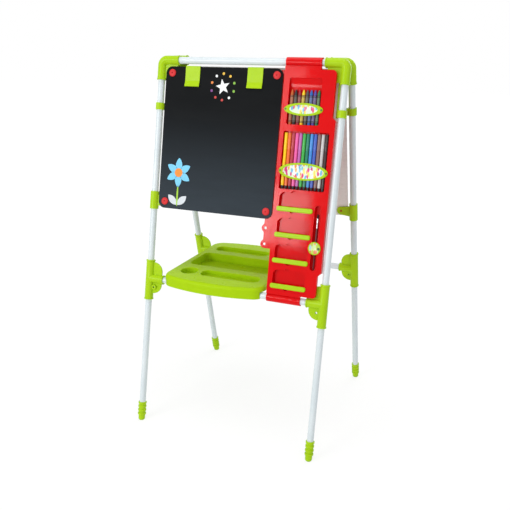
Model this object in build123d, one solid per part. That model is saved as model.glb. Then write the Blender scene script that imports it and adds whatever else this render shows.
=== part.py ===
from build123d import *
import math
import os

# Folding easel for children: two leaning tube frames hinged at the top, with a blackboard and a colour
# caddy on the front one, a whiteboard on the rear one, and a loose tray across their crossbars.
# Millimetres, +Z up. The origin is on the floor, midway between the feet, and the blackboard faces -Y.
# The pieces of a frame are drawn upright first: x across, "down" along the legs from the top tube's axis,
# and "out" from the plane of the tubes. Left and right are as a child standing before that side sees them.

# Frames
LEG_SPACING = 520.0  # between leg axes
LEG_LENGTH = 1030.0  # from the top tube's axis to the tip of the foot
LEAN = 12.5  # degrees from upright
TOP_SPACING = 42.0  # between the axes of the two top tubes
FLOOR_CUT = 3.0  # depth of the flat on which each foot stands

# Tubes, and the moulded sockets that join them
TUBE = 9.0  # radius
TUBE_WALL = 1.2
FIT = 0.15  # of a tube in its socket, on the radius
SOCKET_WALL = 2.85
BEAD_RISE = 1.2
BEAD_LENGTH = 4.0
WEB_THICKNESS = 4.0

# Elbows
ELBOW_REACH = 54.0
ELBOW_DROP = 53.0
BEND_SLACK = 2.0
SEAT_GAP = 1.0  # from the bend to the end of a tube
ELBOW_WEB = 48.0
ELBOW_WEB_CORNER = 14.0

# Tees
TEE_UP = 53.5
TEE_DOWN = 60.5
TEE_REACH = 46.0
TEE_PARTITION = 4.0
TEE_WEB_REACH = 39.0  # from the leg axis
TEE_WEB_UP = 47.0  # above the crossbar's axis
TEE_WEB_DOWN = 42.0
TEE_WEB_CORNER = 26.0
TEE_HOLE = 3.25  # radius
TEE_HOLE_IN = 17.5
TEE_HOLE_DROP = 23.5
TEE_BOSS = 7.0  # radius
TEE_BOSS_HEIGHT = 5.0

# Feet
FOOT_LENGTH = 57.5
FOOT_SOLE = 19.0
FOOT_WALL = 1.3  # at the mouth, between ribs
FOOT_TAPER = 1.2
FOOT_ROUND = 8.0
FOOT_RIBS = 4
FOOT_RIB_PITCH = 11.0
FOOT_RIB_WIDTH = 6.0
FOOT_RIB_RISE = 1.5

# Hinges
PIVOT_DROP = 25.0  # below the top tubes' axes
PIVOT_BOSS = 9.0  # radius
PIN = 3.0  # radius
PIN_FIT = 0.05
PIN_HEAD = 5.5  # radius
PIN_HEAD_HEIGHT = 2.5
PIN_CAP = 5.0  # radius
PIN_CAP_GAP = 0.3
LEAF_THICKNESS = 3.0
LEAF_GAP = 0.5
LEAF_SIDE_GAP = 0.3  # from the beads of the elbow
LEAF_NEAR = 2.5
LEAF_FAR = 14.0
LEAF_TOP = 14.0
LEAF_NECK = 70.0
LEAF_ARM = 9.0
LEAF_HOLES = (50.0, 76.0, 104.0)
LEAF_HOLE = 2.2  # radius
LEAF_HOLE_IN = 7.0
LEAF_PAD_REACH = 29.0
LEAF_PAD_BOTTOM = 46.0
LEAF_PAD = 3.0
RING_TOP = 114.5
RING_LENGTH = 18.5

# Boards and their rivets
BOARD_TOP_GAP = 3.8  # from the beads of the elbows
BOARD_SIDE_GAP = 3.4
BOARD_CORNER = 18.0
BLACKBOARD_HEIGHT = 383.0
BLACKBOARD_THICKNESS = 3.0
BLACKBOARD_RIVET_UP = 18.9  # lower rivets, above the lower edge
WHITEBOARD_HEIGHT = 413.5
WHITEBOARD_BACKING = 2.4
WHITEBOARD_SHEET = 0.6
WHITEBOARD_RIVET_UP = 15.7
RIVET_IN = 36.4  # from the leg axis
RIVET_DOWN = 34.0
RIVET_HEAD = 10.0  # radius
RIVET_HEAD_HEIGHT = 4.0
RIVET_CROWN = (7.4, 2.75)  # radius and height of a point on the dome
RIVET_DIMPLE = 1.8  # radius
RIVET_DIMPLE_DEPTH = 3.0
RIVET_SHANK = 3.0  # radius
RIVET_FIT = 0.1
WASHER = 12.5  # radius
WASHER_THICKNESS = 0.8
CLIP_LENGTH = 49.0  # sleeve of a board clip
CLIP_NECK = 34.0
CLIP_END = 12.0  # radius of the tongue's end

# Paper clips on the blackboard
PAPER_CLIP_WIDTH = 43.0
PAPER_CLIP_THICKNESS = 1.8
PAPER_CLIP_GAP = 0.3
PAPER_CLIP_BACK = 14.0
PAPER_CLIP_NIP = 38.0
PAPER_CLIP_LIP = 53.0
PAPER_CLIP_BOW = 3.0
PAPER_CLIP_BEND = 1.4
PAPER_CLIPS_IN = (82.2, 264.2)  # from the blackboard's left edge to each middle

# Caddy shell
HOOK_GAP = 0.3
HOOK_WALL = 3.0
CADDY_LEG_GAP = 12.0  # from the leg axis to the right side
CADDY_WIDTH = 144.0
CADDY_SKIN = 2.7
CADDY_WALL = 2.5
CADDY_BACK = 2.5
CADDY_WAIST_IN = 8.5
HOOK_IN = 49.0
SHOULDER = 19.0
SHOULDER_ROUND = 10.0
BELLY_TOP = 133.0
BELLY_SLOPE = 8.0
BELLY_DEPTH = 7.5
TUBE_CLEARANCE = 4.0
NECK = 8.0  # floor of the grooves beside the hook and the roll, out from the tubes' plane
NECK_REACH = 11.5  # far side of each groove, from the tube's axis
ROLL_CORNER = 8.0
ROLL_IN = 50.0
CADDY_TEE_GAP = 19.0  # from the belly's end up to the top of the tee
CADDY_LOWER_GAP = 1.3  # from the beads of the tee

# Caddy flange behind the blackboard, and the ear with its two hanging holes
FLANGE_REACH = 34.0
FLANGE_BACK = 0.5
FLANGE_TOP = 20.0
CADDY_BOARD_GAP = 6.1
FLANGE_RIVET_IN = 22.8
EAR = 11.0  # radius
EAR_HOLE = 3.7  # radius
EAR_HOLE_IN = 21.5
EAR_DROPS = (24.0, 66.0)  # below the blackboard
EAR_STRIP = 25.5
EAR_DIP = 8.0  # rounding between the strip and the holes' lobes

# Caddy pans and pockets, in from the caddy's left side
PAN_WALL = 2.2
PAN_DEPTH = 11.3
PAN_ROUND = 5.0
CRAYON_PAN_IN = 58.3
CRAYON_PAN_MARGIN = 3.05  # beside the outermost crayons
CRAYON_PAN_TOP = 40.0
CRAYON_PAN_HEIGHT = 115.0
CRAYON_PAN_RAMP = 26.0
PEN_PAN_IN = 71.0
PEN_PAN_MARGIN = 2.05  # beside the outermost pens
PEN_PAN_DROP = 17.0  # below the crayon pan
PEN_PAN_HEIGHT = 146.0
POCKETS = 4
POCKET_IN = 58.5
POCKET_WIDTH = 89.0
POCKET_HEIGHT = 46.0
POCKET_ROUND = 14.0
POCKET_DEPTH = 10.5
POCKET_UP = 20.0  # from the lip to the pocket's middle
POCKET_WELL = 13.0  # radius of the finger wells above and below
POCKET_WELL_IN = 53.0
POCKET_WELL_UP = 34.0
POCKET_WELL_DOWN = 3.0
LIP_FIRST = 50.5  # below the pen pan
LIP_PITCH = 67.3
LIP_LAST = 34.1  # above the crossbar's axis
LIP_WIDTH = 98.0
LIP_HEIGHT = 12.6
LIP_THICKNESS = 4.7
LIP_CORNER = 5.4
LIP_ROUND = 2.2
BRUSH_IN = 120.6
BRUSH_WIDTH = 16.0
BRUSH_TOP = 34.0  # below the pen pan
BRUSH_LENGTH = 167.0
BRUSH_DEPTH = 10.0

# Crayons and felt pens
CRAYONS = 8
CRAYON = 4.3  # radius
CRAYON_PITCH = 10.2
CRAYON_LENGTH = 86.7
CRAYON_TIP = 8.0
CRAYON_POINT = 1.3  # radius
PENS = 12
PEN = 4.5  # radius
PEN_PITCH = 9.9
PEN_LENGTH = 141.7
PEN_TAPER = 14.0
PEN_END = 3.0  # radius
STICK_GAP = 0.2  # from the pan

# Paint brush in its channel
PAINT_BRUSH = 2.8  # radius
PAINT_BRUSH_DROP = 22.0  # below the channel's top
PAINT_BRUSH_BRISTLES = 11.0
PAINT_BRUSH_FERRULE = 24.0
PAINT_BRUSH_HANDLE = 108.0
PAINT_BRUSH_TIP = 0.9  # radius
PAINT_BRUSH_END = 1.7  # radius

# Bands across the crayons and pens, and the keeper on the brush channel
BAND_THICKNESS = 2.0
CRAYON_BAND = (103.0, 31.6)  # width and height
CRAYON_BAND_DOWN = 77.0  # below the pan's top
PEN_BAND = (131.0, 44.0)
PEN_BAND_IN = 71.8
PEN_BAND_DOWN = 99.0
BAND_PIN = 1.5  # radius
BAND_PIN_HEAD = 2.4  # radius
BAND_PIN_HEAD_HEIGHT = 0.9
BAND_PIN_IN = 4.0
KEEPER = 16.6  # radius
KEEPER_IN = 121.1
KEEPER_DOWN = 143.0  # below the pen pan
KEEPER_THICKNESS = 2.5
KEEPER_ROUND = 0.8
KEEPER_GAP = 0.3
KEEPER_PIN = 2.0  # radius
KEEPER_PIN_OFFSET = 11.3
KEEPER_PIN_HEAD = 3.4  # radius
KEEPER_PIN_HEAD_HEIGHT = 1.5

# Tray
TRAY_RISE = 24.0  # of the deck above the crossbars' axes
TRAY_WALL = 2.5
TRAY_LEG_GAP = 50.0
TRAY_CADDY_GAP = 10.0
TRAY_END = 14.0  # ends of the long edges, out from the crossbars' axes
TRAY_BELLY = 38.0  # middles of the long edges, out from the crossbars' axes
TRAY_CORNER = 38.0
TRAY_EDGE = 9.0  # rounding of the deck's outer edge
TRAY_ROUND = 2.0  # rounding of the rims of its recesses
TRAY_SKIRT = 31.0
TRAY_SIDE_SKIRT = 12.5
SKIRT_GAP = 0.6  # from the crossbars
SADDLE_GAP = 0.2
SADDLE_WIDTH = 14.0
SADDLE_THICKNESS = 2.5
SADDLES = 5
SADDLE_PITCH = 50.0
WELL_MARGIN = 22.0
WELL_FROM_BAR = 95.8  # long edge of the well, in from a crossbar's axis
WELL_DEPTH = 25.0
TROUGH = (178.0, 44.0)
TROUGH_DEPTH = 12.0
TROUGH_IN = 121.0  # middle of a trough, in from the tray's side
TROUGH_FROM_BAR = 42.8  # middle of a trough, in from a crossbar's axis
RECESS_ROUND = 20.0
CUP = 25.0  # radius
CUP_DEPTH = 14.5
CUP_IN = 56.0
CUP_FROM_BAR = 41.8

# Places that follow from the sizes above
HALF_SPAN = LEG_SPACING / 2
HALF_WEB = WEB_THICKNESS / 2
RISE = math.cos(math.radians(LEAN))
SPREAD = math.sin(math.radians(LEAN))
TOP_HEIGHT = LEG_LENGTH * RISE - FLOOR_CUT
SLEEVE = TUBE + FIT + SOCKET_WALL
BEAD = SLEEVE + BEAD_RISE
BORE = TUBE + FIT
ELBOW_BEND = SLEEVE + BEND_SLACK
SEAT = ELBOW_BEND + SEAT_GAP

CRAYON_PAN_WIDTH = CRAYON_PITCH * (CRAYONS - 1) + 2 * (CRAYON + CRAYON_PAN_MARGIN)
PEN_PAN_WIDTH = PEN_PITCH * (PENS - 1) + 2 * (PEN + PEN_PAN_MARGIN)
PEN_PAN_TOP = CRAYON_PAN_TOP + CRAYON_PAN_HEIGHT + PEN_PAN_DROP
PEN_PAN_BOTTOM = PEN_PAN_TOP + PEN_PAN_HEIGHT
LIPS = [PEN_PAN_BOTTOM + LIP_FIRST + LIP_PITCH * index for index in range(POCKETS)]
CROSSBAR_DOWN = LIPS[-1] + LIP_LAST
CROSSBAR_OUT = TOP_SPACING / 2 + CROSSBAR_DOWN * SPREAD
CROSSBAR_HEIGHT = TOP_HEIGHT - CROSSBAR_DOWN * RISE
WELL_LENGTH = 2 * (CROSSBAR_OUT - WELL_FROM_BAR)
TROUGH_OUT = CROSSBAR_OUT - TROUGH_FROM_BAR
CUP_OUT = CROSSBAR_OUT - CUP_FROM_BAR

PIVOT_OUT = -(TOP_SPACING / 2 * RISE + PIVOT_DROP * SPREAD)
PIVOT_DOWN = PIVOT_DROP * RISE - TOP_SPACING / 2 * SPREAD
FRONT_LEAF = HALF_SPAN - BEAD - LEAF_SIDE_GAP
REAR_LEAF = FRONT_LEAF - LEAF_THICKNESS - LEAF_GAP
RING_BOTTOM = RING_TOP + RING_LENGTH

TUBE_SEAT = TUBE + HOOK_GAP
CADDY_FACE = TUBE_SEAT + HOOK_WALL
CADDY_INSIDE = CADDY_FACE - CADDY_SKIN
CADDY_RIGHT = HALF_SPAN - CADDY_LEG_GAP
CADDY_LEFT = CADDY_RIGHT - CADDY_WIDTH
CADDY_WAIST = CADDY_RIGHT - CADDY_WAIST_IN
BELLY_BOTTOM = CROSSBAR_DOWN - TEE_UP - CADDY_TEE_GAP

BOARD_TOP = BEAD + BOARD_TOP_GAP
BOARD_SIDE = HALF_SPAN - BEAD - BOARD_SIDE_GAP
BLACKBOARD_RIGHT = CADDY_LEFT - CADDY_BOARD_GAP
BLACKBOARD_BOTTOM = BOARD_TOP + BLACKBOARD_HEIGHT
WHITEBOARD_BOTTOM = BOARD_TOP + WHITEBOARD_HEIGHT
BLACKBOARD_FACE = HALF_WEB + BLACKBOARD_THICKNESS
WHITEBOARD_FACE = HALF_WEB + WHITEBOARD_BACKING + WHITEBOARD_SHEET
RIVET_SIDE = HALF_SPAN - RIVET_IN
FLANGE_RIVET = CADDY_LEFT - FLANGE_RIVET_IN
BLACKBOARD_RIVET = BLACKBOARD_BOTTOM - BLACKBOARD_RIVET_UP
EAR_HOLE_X = CADDY_LEFT - EAR_HOLE_IN
EAR_HOLES = [BLACKBOARD_BOTTOM + drop for drop in EAR_DROPS]
EAR_BOTTOM = EAR_HOLES[-1] + EAR
WHITEBOARD_RIVET = WHITEBOARD_BOTTOM - WHITEBOARD_RIVET_UP

FRONT = Pos(0, -TOP_SPACING / 2, TOP_HEIGHT) * Rot(-LEAN, 0, 0)
REAR = Rot(0, 0, 180) * FRONT
TURN = Rot(0, 0, 180)


# Drawing helpers


def slab(outline, inner, outer):
    """Extrude an (x, down) outline between two distances out from the tubes' plane."""
    plane = Plane(origin=(0, -outer, 0), x_dir=(1, 0, 0), z_dir=(0, 1, 0))
    return extrude(plane * outline, amount=outer - inner)


def profile(outline, start, end):
    """Extrude an (out, down) outline across, from x = start to x = end."""
    plane = Plane(origin=(start, 0, 0), x_dir=(0, -1, 0), z_dir=(1, 0, 0))
    return extrude(plane * outline, amount=end - start)


def rod(radius, length, rounding=0.0):
    """Cylinder about the origin, with both rims rounded where a rounding is given."""
    cylinder = Cylinder(radius, length)
    if rounding:
        cylinder = fillet(cylinder.edges().filter_by(GeomType.CIRCLE), rounding)
    return cylinder


def upright(radius, top, bottom, x, rounding=0.0):
    """Cylinder along the leg."""
    return Pos(x, 0, -(top + bottom) / 2) * rod(radius, bottom - top, rounding)


def level(radius, start, end, down, rounding=0.0):
    """Cylinder along x."""
    return Pos((start + end) / 2, 0, -down) * Rot(0, 90, 0) * rod(radius, end - start, rounding)


def through(radius, x, down, inner, outer, rounding=0.0):
    """Cylinder square to the tubes' plane."""
    return Pos(x, -(inner + outer) / 2, -down) * Rot(90, 0, 0) * rod(radius, outer - inner, rounding)


def panel(left, right, top, bottom, rounding=0.0):
    """Rectangle between four edges, with round corners where a rounding is given."""
    middle = Pos((left + right) / 2, (top + bottom) / 2)
    if rounding:
        return middle * RectangleRounded(right - left, bottom - top, rounding)
    return middle * Rectangle(right - left, bottom - top)


def polygon(*points):
    """Face inside a closed run of straight edges."""
    return make_face(Polyline(*points, close=True))


def round_corner(face, corner, rounding):
    """Fillet the corner of a flat face that lies nearest to a point."""
    return fillet(face.vertices().sort_by_distance(Vector(*corner))[0], rounding)


# Frame pieces, right-hand ones where there are two


def leg(top, bottom):
    """Length of leg tube."""
    return upright(TUBE, top, bottom, HALF_SPAN) - upright(TUBE - TUBE_WALL, top, bottom, HALF_SPAN)


def rail(down):
    """Tube across the frame, between its two seats."""
    end = HALF_SPAN - SEAT
    return level(TUBE, -end, end, down) - level(TUBE - TUBE_WALL, -end, end, down)


def elbow():
    """Two sockets on a short bend, and a flat web that takes a board rivet."""
    mouth = HALF_SPAN - ELBOW_REACH
    bend = HALF_SPAN - ELBOW_BEND
    section = Plane(origin=(bend, 0, 0), x_dir=(0, 1, 0), z_dir=(1, 0, 0)) * Circle(SLEEVE)
    quadrant = panel(HALF_SPAN - ELBOW_WEB, HALF_SPAN, 0, ELBOW_WEB)
    web = Pos(HALF_SPAN, 0) * RectangleRounded(2 * ELBOW_WEB, 2 * ELBOW_WEB, ELBOW_WEB_CORNER) & quadrant
    body = revolve(section, Axis((bend, 0, -ELBOW_BEND), (0, 1, 0)), 90)
    body += level(SLEEVE, mouth, bend, 0) + upright(SLEEVE, ELBOW_BEND, ELBOW_DROP, HALF_SPAN)
    body += level(BEAD, mouth, mouth + BEAD_LENGTH, 0, BEAD_RISE)
    body += upright(BEAD, ELBOW_DROP - BEAD_LENGTH, ELBOW_DROP, HALF_SPAN, BEAD_RISE)
    body += slab(web, -HALF_WEB, HALF_WEB)
    body -= level(BORE, mouth, HALF_SPAN - SEAT, 0) + upright(BORE, SEAT, ELBOW_DROP, HALF_SPAN)
    return body - through(RIVET_SHANK + RIVET_FIT, RIVET_SIDE, RIVET_DOWN, -HALF_WEB, HALF_WEB)


def tee():
    """Sleeve that joins the two leg tubes, with a socket for the crossbar and a round-cornered web."""
    top = CROSSBAR_DOWN - TEE_UP
    bottom = CROSSBAR_DOWN + TEE_DOWN
    mouth = HALF_SPAN - TEE_REACH
    middle = TEE_PARTITION / 2
    hole_x = HALF_SPAN - TEE_HOLE_IN
    hole_down = CROSSBAR_DOWN + TEE_HOLE_DROP
    reach = HALF_SPAN - TEE_WEB_REACH
    web_top = CROSSBAR_DOWN - TEE_WEB_UP
    web_bottom = CROSSBAR_DOWN + TEE_WEB_DOWN
    web = panel(reach, HALF_SPAN, web_top, web_bottom)
    web = round_corner(web, (reach, web_top), TEE_WEB_CORNER)
    web = round_corner(web, (reach, web_bottom), TEE_WEB_CORNER)
    body = upright(SLEEVE, top, bottom, HALF_SPAN) + level(SLEEVE, mouth, HALF_SPAN, CROSSBAR_DOWN)
    body += upright(BEAD, top, top + BEAD_LENGTH, HALF_SPAN, BEAD_RISE)
    body += upright(BEAD, bottom - BEAD_LENGTH, bottom, HALF_SPAN, BEAD_RISE)
    body += level(BEAD, mouth, mouth + BEAD_LENGTH, CROSSBAR_DOWN, BEAD_RISE)
    body += slab(web, -HALF_WEB, HALF_WEB)
    body += through(TEE_BOSS, hole_x, hole_down, -HALF_WEB - TEE_BOSS_HEIGHT, HALF_WEB)
    body -= upright(BORE, top, CROSSBAR_DOWN - middle, HALF_SPAN)
    body -= upright(BORE, CROSSBAR_DOWN + middle, bottom, HALF_SPAN)
    body -= level(BORE, mouth, HALF_SPAN - SEAT, CROSSBAR_DOWN)
    return body - through(TEE_HOLE, hole_x, hole_down, -HALF_WEB - TEE_BOSS_HEIGHT, HALF_WEB)


def foot():
    """Ribbed rubber boot on the end of the leg, cut flat where it meets the floor."""
    top = LEG_LENGTH - FOOT_LENGTH
    wide = BORE + FOOT_WALL
    narrow = wide - FOOT_TAPER
    boot = Cone(narrow, wide, FOOT_LENGTH)
    boot = fillet(boot.edges().filter_by(GeomType.CIRCLE).sort_by(Axis.Z)[0], FOOT_ROUND)
    boot = Pos(HALF_SPAN, 0, -(top + LEG_LENGTH) / 2) * boot
    for index in range(FOOT_RIBS):
        start = top + FOOT_RIB_PITCH * index
        boot += upright(wide + FOOT_RIB_RISE, start, start + FOOT_RIB_WIDTH, HALF_SPAN, FOOT_RIB_RISE)
    boot -= upright(BORE, top, LEG_LENGTH - FOOT_SOLE, HALF_SPAN)
    ground = Pos(0, 0, -LEG_LENGTH / 2) * Box(2 * LEG_LENGTH, 2 * LEG_LENGTH, LEG_LENGTH)
    return boot - FRONT.inverse() * ground


def hinge_leaf(outer_face):
    """Ring on the leg, a plate up to the pivot, and a pad against the back of the elbow's web."""
    inner_face = outer_face - LEAF_THICKNESS
    pivot = Pos(PIVOT_OUT, PIVOT_DOWN)
    slant = PIVOT_BOSS * math.sqrt(0.5)
    blade = panel(-LEAF_FAR, -LEAF_NEAR, LEAF_TOP, RING_BOTTOM) + pivot * Circle(PIVOT_BOSS)
    blade += polygon(
        (-LEAF_NEAR, LEAF_TOP),
        (PIVOT_OUT, PIVOT_DOWN - PIVOT_BOSS),
        (PIVOT_OUT - slant, PIVOT_DOWN + slant),
        (-LEAF_FAR, LEAF_NECK),
        (-LEAF_NEAR, LEAF_NECK),
    )
    blade -= pivot * Circle(PIN + PIN_FIT)
    for down in LEAF_HOLES:
        blade -= Pos(-LEAF_HOLE_IN, down) * Circle(LEAF_HOLE)
    leaf = profile(blade, inner_face, outer_face)
    leaf += upright(SLEEVE, RING_TOP, RING_BOTTOM, HALF_SPAN)
    leaf += profile(panel(-LEAF_ARM, -LEAF_NEAR, RING_TOP, RING_BOTTOM), inner_face, HALF_SPAN)
    pad = panel(HALF_SPAN - LEAF_PAD_REACH, outer_face, LEAF_TOP + HALF_WEB, LEAF_PAD_BOTTOM)
    leaf += slab(pad, -HALF_WEB - LEAF_PAD, -HALF_WEB)
    return leaf - upright(BORE, RING_TOP, RING_BOTTOM, HALF_SPAN)


def hinge_pin():
    """Pin through a pair of leaves, with a head outside and a cap inside."""
    cap_face = REAR_LEAF - LEAF_THICKNESS - PIN_CAP_GAP
    pivot = Pos(PIVOT_OUT, PIVOT_DOWN)
    pin = profile(pivot * Circle(PIN), cap_face, FRONT_LEAF)
    pin += profile(pivot * Circle(PIN_HEAD), FRONT_LEAF, FRONT_LEAF + PIN_HEAD_HEIGHT)
    return pin + profile(pivot * Circle(PIN_CAP), cap_face - PIN_HEAD_HEIGHT, cap_face)


def board_clip(rivet_down):
    """Sleeve on the leg with a tongue behind the board, round about the rivet."""
    top = rivet_down - CLIP_LENGTH / 2
    bottom = rivet_down + CLIP_LENGTH / 2
    tongue = Pos(RIVET_SIDE, rivet_down) * Circle(CLIP_END) + polygon(
        (RIVET_SIDE, rivet_down - CLIP_END),
        (HALF_SPAN, rivet_down - CLIP_NECK / 2),
        (HALF_SPAN, rivet_down + CLIP_NECK / 2),
        (RIVET_SIDE, rivet_down + CLIP_END),
    )
    clip = upright(SLEEVE, top, bottom, HALF_SPAN) + slab(tongue, -HALF_WEB, HALF_WEB)
    clip -= upright(BORE, top, bottom, HALF_SPAN)
    return clip - through(RIVET_SHANK + RIVET_FIT, RIVET_SIDE, rivet_down, -HALF_WEB, HALF_WEB)


def frame_pieces(leaf_face):
    """Every piece that the two frames have alike, by name."""
    pieces = {"top_tube": rail(0), "crossbar": rail(CROSSBAR_DOWN)}
    paired = {
        "upper_leg": leg(SEAT, CROSSBAR_DOWN - TEE_PARTITION / 2),
        "lower_leg": leg(CROSSBAR_DOWN + TEE_PARTITION / 2, LEG_LENGTH - FOOT_SOLE),
        "elbow": elbow(),
        "tee": tee(),
        "foot": foot(),
        "hinge_leaf": hinge_leaf(leaf_face),
    }
    for name, piece in paired.items():
        pieces["right_" + name] = piece
        # One moulding serves as both tees, turned about; the other pairs are mirrored.
        pieces["left_" + name] = TURN * piece if name == "tee" else mirror(piece, about=Plane.YZ)
    return pieces


# Boards


def rivet(x, down, seat, back):
    """Domed plastic rivet from the face of a board to the back of what holds it."""
    rim = Line((0, 0), (RIVET_HEAD, 0))
    dome = ThreePointArc(rim @ 1, RIVET_CROWN, (RIVET_DIMPLE, RIVET_HEAD_HEIGHT))
    floor_height = RIVET_HEAD_HEIGHT - RIVET_DIMPLE_DEPTH
    dimple = Polyline(dome @ 1, (RIVET_DIMPLE, floor_height), (0, floor_height), (0, 0))
    head = revolve(make_face(rim + dome + dimple), Axis.Y, 360)
    body = Pos(x, -seat, -down) * Rot(180, 0, 0) * head
    return body + through(RIVET_SHANK, x, down, back, seat)


def board(left, right, bottom, inner, outer, rivets):
    """Flat board with round corners and a hole for each rivet."""
    body = slab(panel(left, right, BOARD_TOP, bottom, BOARD_CORNER), inner, outer)
    for x, down in rivets:
        body -= through(RIVET_SHANK + RIVET_FIT, x, down, inner, outer)
    return body


def paper_clip(middle):
    """Spring clip over the blackboard's top edge: back, flat front and a lifted lip."""
    step = PAPER_CLIP_GAP + PAPER_CLIP_THICKNESS / 2
    back = HALF_WEB - step
    front = BLACKBOARD_FACE + step
    top = BOARD_TOP - step
    line = FilletPolyline(
        (back, top + PAPER_CLIP_BACK),
        (back, top),
        (front, top),
        (front, top + PAPER_CLIP_NIP),
        (front + PAPER_CLIP_BOW, top + PAPER_CLIP_LIP),
        radius=PAPER_CLIP_BEND,
    )
    half = PAPER_CLIP_WIDTH / 2
    return profile(trace(line, PAPER_CLIP_THICKNESS), middle - half, middle + half)


# Caddy


def crayon_pan(grow=0.0):
    """Outline of the crayon pan, grown by a wall."""
    middle = CADDY_LEFT + CRAYON_PAN_IN
    half = CRAYON_PAN_WIDTH / 2 + grow
    bottom = CRAYON_PAN_TOP + CRAYON_PAN_HEIGHT
    return panel(middle - half, middle + half, CRAYON_PAN_TOP - grow, bottom + grow, PAN_ROUND + grow)


def crayon_ramp():
    """Slope from the caddy's face down to the floor of the crayon pan, above the crayons."""
    middle = CADDY_LEFT + CRAYON_PAN_IN
    half = CRAYON_PAN_WIDTH / 2
    floor = CADDY_FACE - PAN_DEPTH
    slope = polygon(
        (floor, CRAYON_PAN_TOP), (CADDY_INSIDE, CRAYON_PAN_TOP), (floor, CRAYON_PAN_TOP + CRAYON_PAN_RAMP)
    )
    return profile(slope, middle - half, middle + half)


def pen_pan(grow=0.0):
    """Outline of the felt pen pan, grown by a wall."""
    middle = CADDY_LEFT + PEN_PAN_IN
    half = PEN_PAN_WIDTH / 2 + grow
    return panel(middle - half, middle + half, PEN_PAN_TOP - grow, PEN_PAN_BOTTOM + grow, PAN_ROUND + grow)


def pocket(lip, grow=0.0):
    """Outline of the pocket above a lip, with a finger well at its top and at its lip."""
    well = Circle(POCKET_WELL + grow)
    well_x = CADDY_LEFT + POCKET_WELL_IN
    mouth = RectangleRounded(POCKET_WIDTH + 2 * grow, POCKET_HEIGHT + 2 * grow, POCKET_ROUND + grow)
    outline = Pos(CADDY_LEFT + POCKET_IN, lip - POCKET_UP) * mouth
    outline += Pos(well_x, lip - POCKET_WELL_UP) * well
    return outline + Pos(well_x, lip - POCKET_WELL_DOWN) * well


def brush_channel(grow=0.0):
    """Outline of the upright channel for a brush."""
    middle = Pos(CADDY_LEFT + BRUSH_IN, PEN_PAN_BOTTOM + BRUSH_TOP + BRUSH_LENGTH / 2)
    return middle * Rot(0, 0, 90) * SlotOverall(BRUSH_LENGTH + 2 * grow, BRUSH_WIDTH + 2 * grow)


def hook():
    """Section of the hook on the top tube, in (out, down): a ring above the axis and down to its groove."""
    ring = Circle(CADDY_FACE) - Circle(TUBE_SEAT)
    upper = panel(-CADDY_FACE, CADDY_FACE, -CADDY_FACE, 0)
    return ring & (upper + panel(NECK - CADDY_SKIN, CADDY_FACE, 0, NECK_REACH))


def neck():
    """Section of the web that joins the hook to the caddy's face, in (out, down)."""
    web = panel(NECK - CADDY_SKIN, CADDY_FACE, NECK, NECK_REACH + CADDY_SKIN)
    return web - Circle(TUBE_SEAT)


def groove():
    """Section of the groove between the hook and the caddy's face, in (out, down)."""
    return panel(NECK, CADDY_FACE, 0, NECK_REACH) - Circle(CADDY_FACE)


def on_both_tubes(section):
    """Extrude a section of the hook along the top tube and, upside down, along the crossbar."""
    upside_down = Pos(0, CROSSBAR_DOWN) * mirror(section, about=Plane.XZ)
    on_top = profile(section, CADDY_LEFT, CADDY_RIGHT - HOOK_IN)
    return on_top + profile(upside_down, CADDY_LEFT, CADDY_RIGHT - ROLL_IN)


def caddy_outline():
    """Face of the caddy: hook, shoulder, belly beside the leg, waist beside the tee, and roll."""
    hook_right = CADDY_RIGHT - HOOK_IN
    roll_right = CADDY_RIGHT - ROLL_IN
    roll_top = CROSSBAR_DOWN - BEAD - CADDY_LOWER_GAP
    face = polygon(
        (CADDY_LEFT, 0),
        (hook_right, 0),
        (hook_right, SHOULDER),
        (CADDY_WAIST, SHOULDER),
        (CADDY_WAIST, BELLY_TOP),
        (CADDY_RIGHT, BELLY_TOP + BELLY_SLOPE),
        (CADDY_RIGHT, BELLY_BOTTOM - BELLY_SLOPE),
        (CADDY_WAIST, BELLY_BOTTOM),
        (CADDY_WAIST, roll_top),
        (roll_right, roll_top),
        (roll_right, CROSSBAR_DOWN),
        (CADDY_LEFT, CROSSBAR_DOWN),
    )
    face = round_corner(face, (CADDY_WAIST, SHOULDER), SHOULDER_ROUND)
    return round_corner(face, (CADDY_WAIST, roll_top), ROLL_CORNER)


def caddy_flange():
    """Strip behind the blackboard's right edge, running down into an ear with two hanging holes."""
    left = CADDY_LEFT - FLANGE_REACH
    right = CADDY_LEFT + CADDY_WALL
    edge = CADDY_LEFT - EAR_STRIP
    ear = panel(edge, right, BLACKBOARD_BOTTOM, EAR_HOLES[-1])
    ear += panel(EAR_HOLE_X, right, BLACKBOARD_BOTTOM, EAR_BOTTOM)
    for down in EAR_HOLES:
        ear += Pos(EAR_HOLE_X, down) * Circle(EAR)
    dip = math.sqrt(EAR**2 - (EAR_STRIP - EAR_HOLE_IN) ** 2)
    for down in (EAR_HOLES[0] - dip, EAR_HOLES[0] + dip, EAR_HOLES[1] - dip):
        ear = round_corner(ear, (edge, down), EAR_DIP)
    outline = ear + panel(left, right, FLANGE_TOP, BLACKBOARD_BOTTOM)
    for down in EAR_HOLES:
        outline -= Pos(EAR_HOLE_X, down) * Circle(EAR_HOLE)
    for down in (RIVET_DOWN, BLACKBOARD_RIVET):
        outline -= Pos(FLANGE_RIVET, down) * Circle(RIVET_SHANK + RIVET_FIT)
    return slab(outline, -FLANGE_BACK, HALF_WEB)


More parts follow.
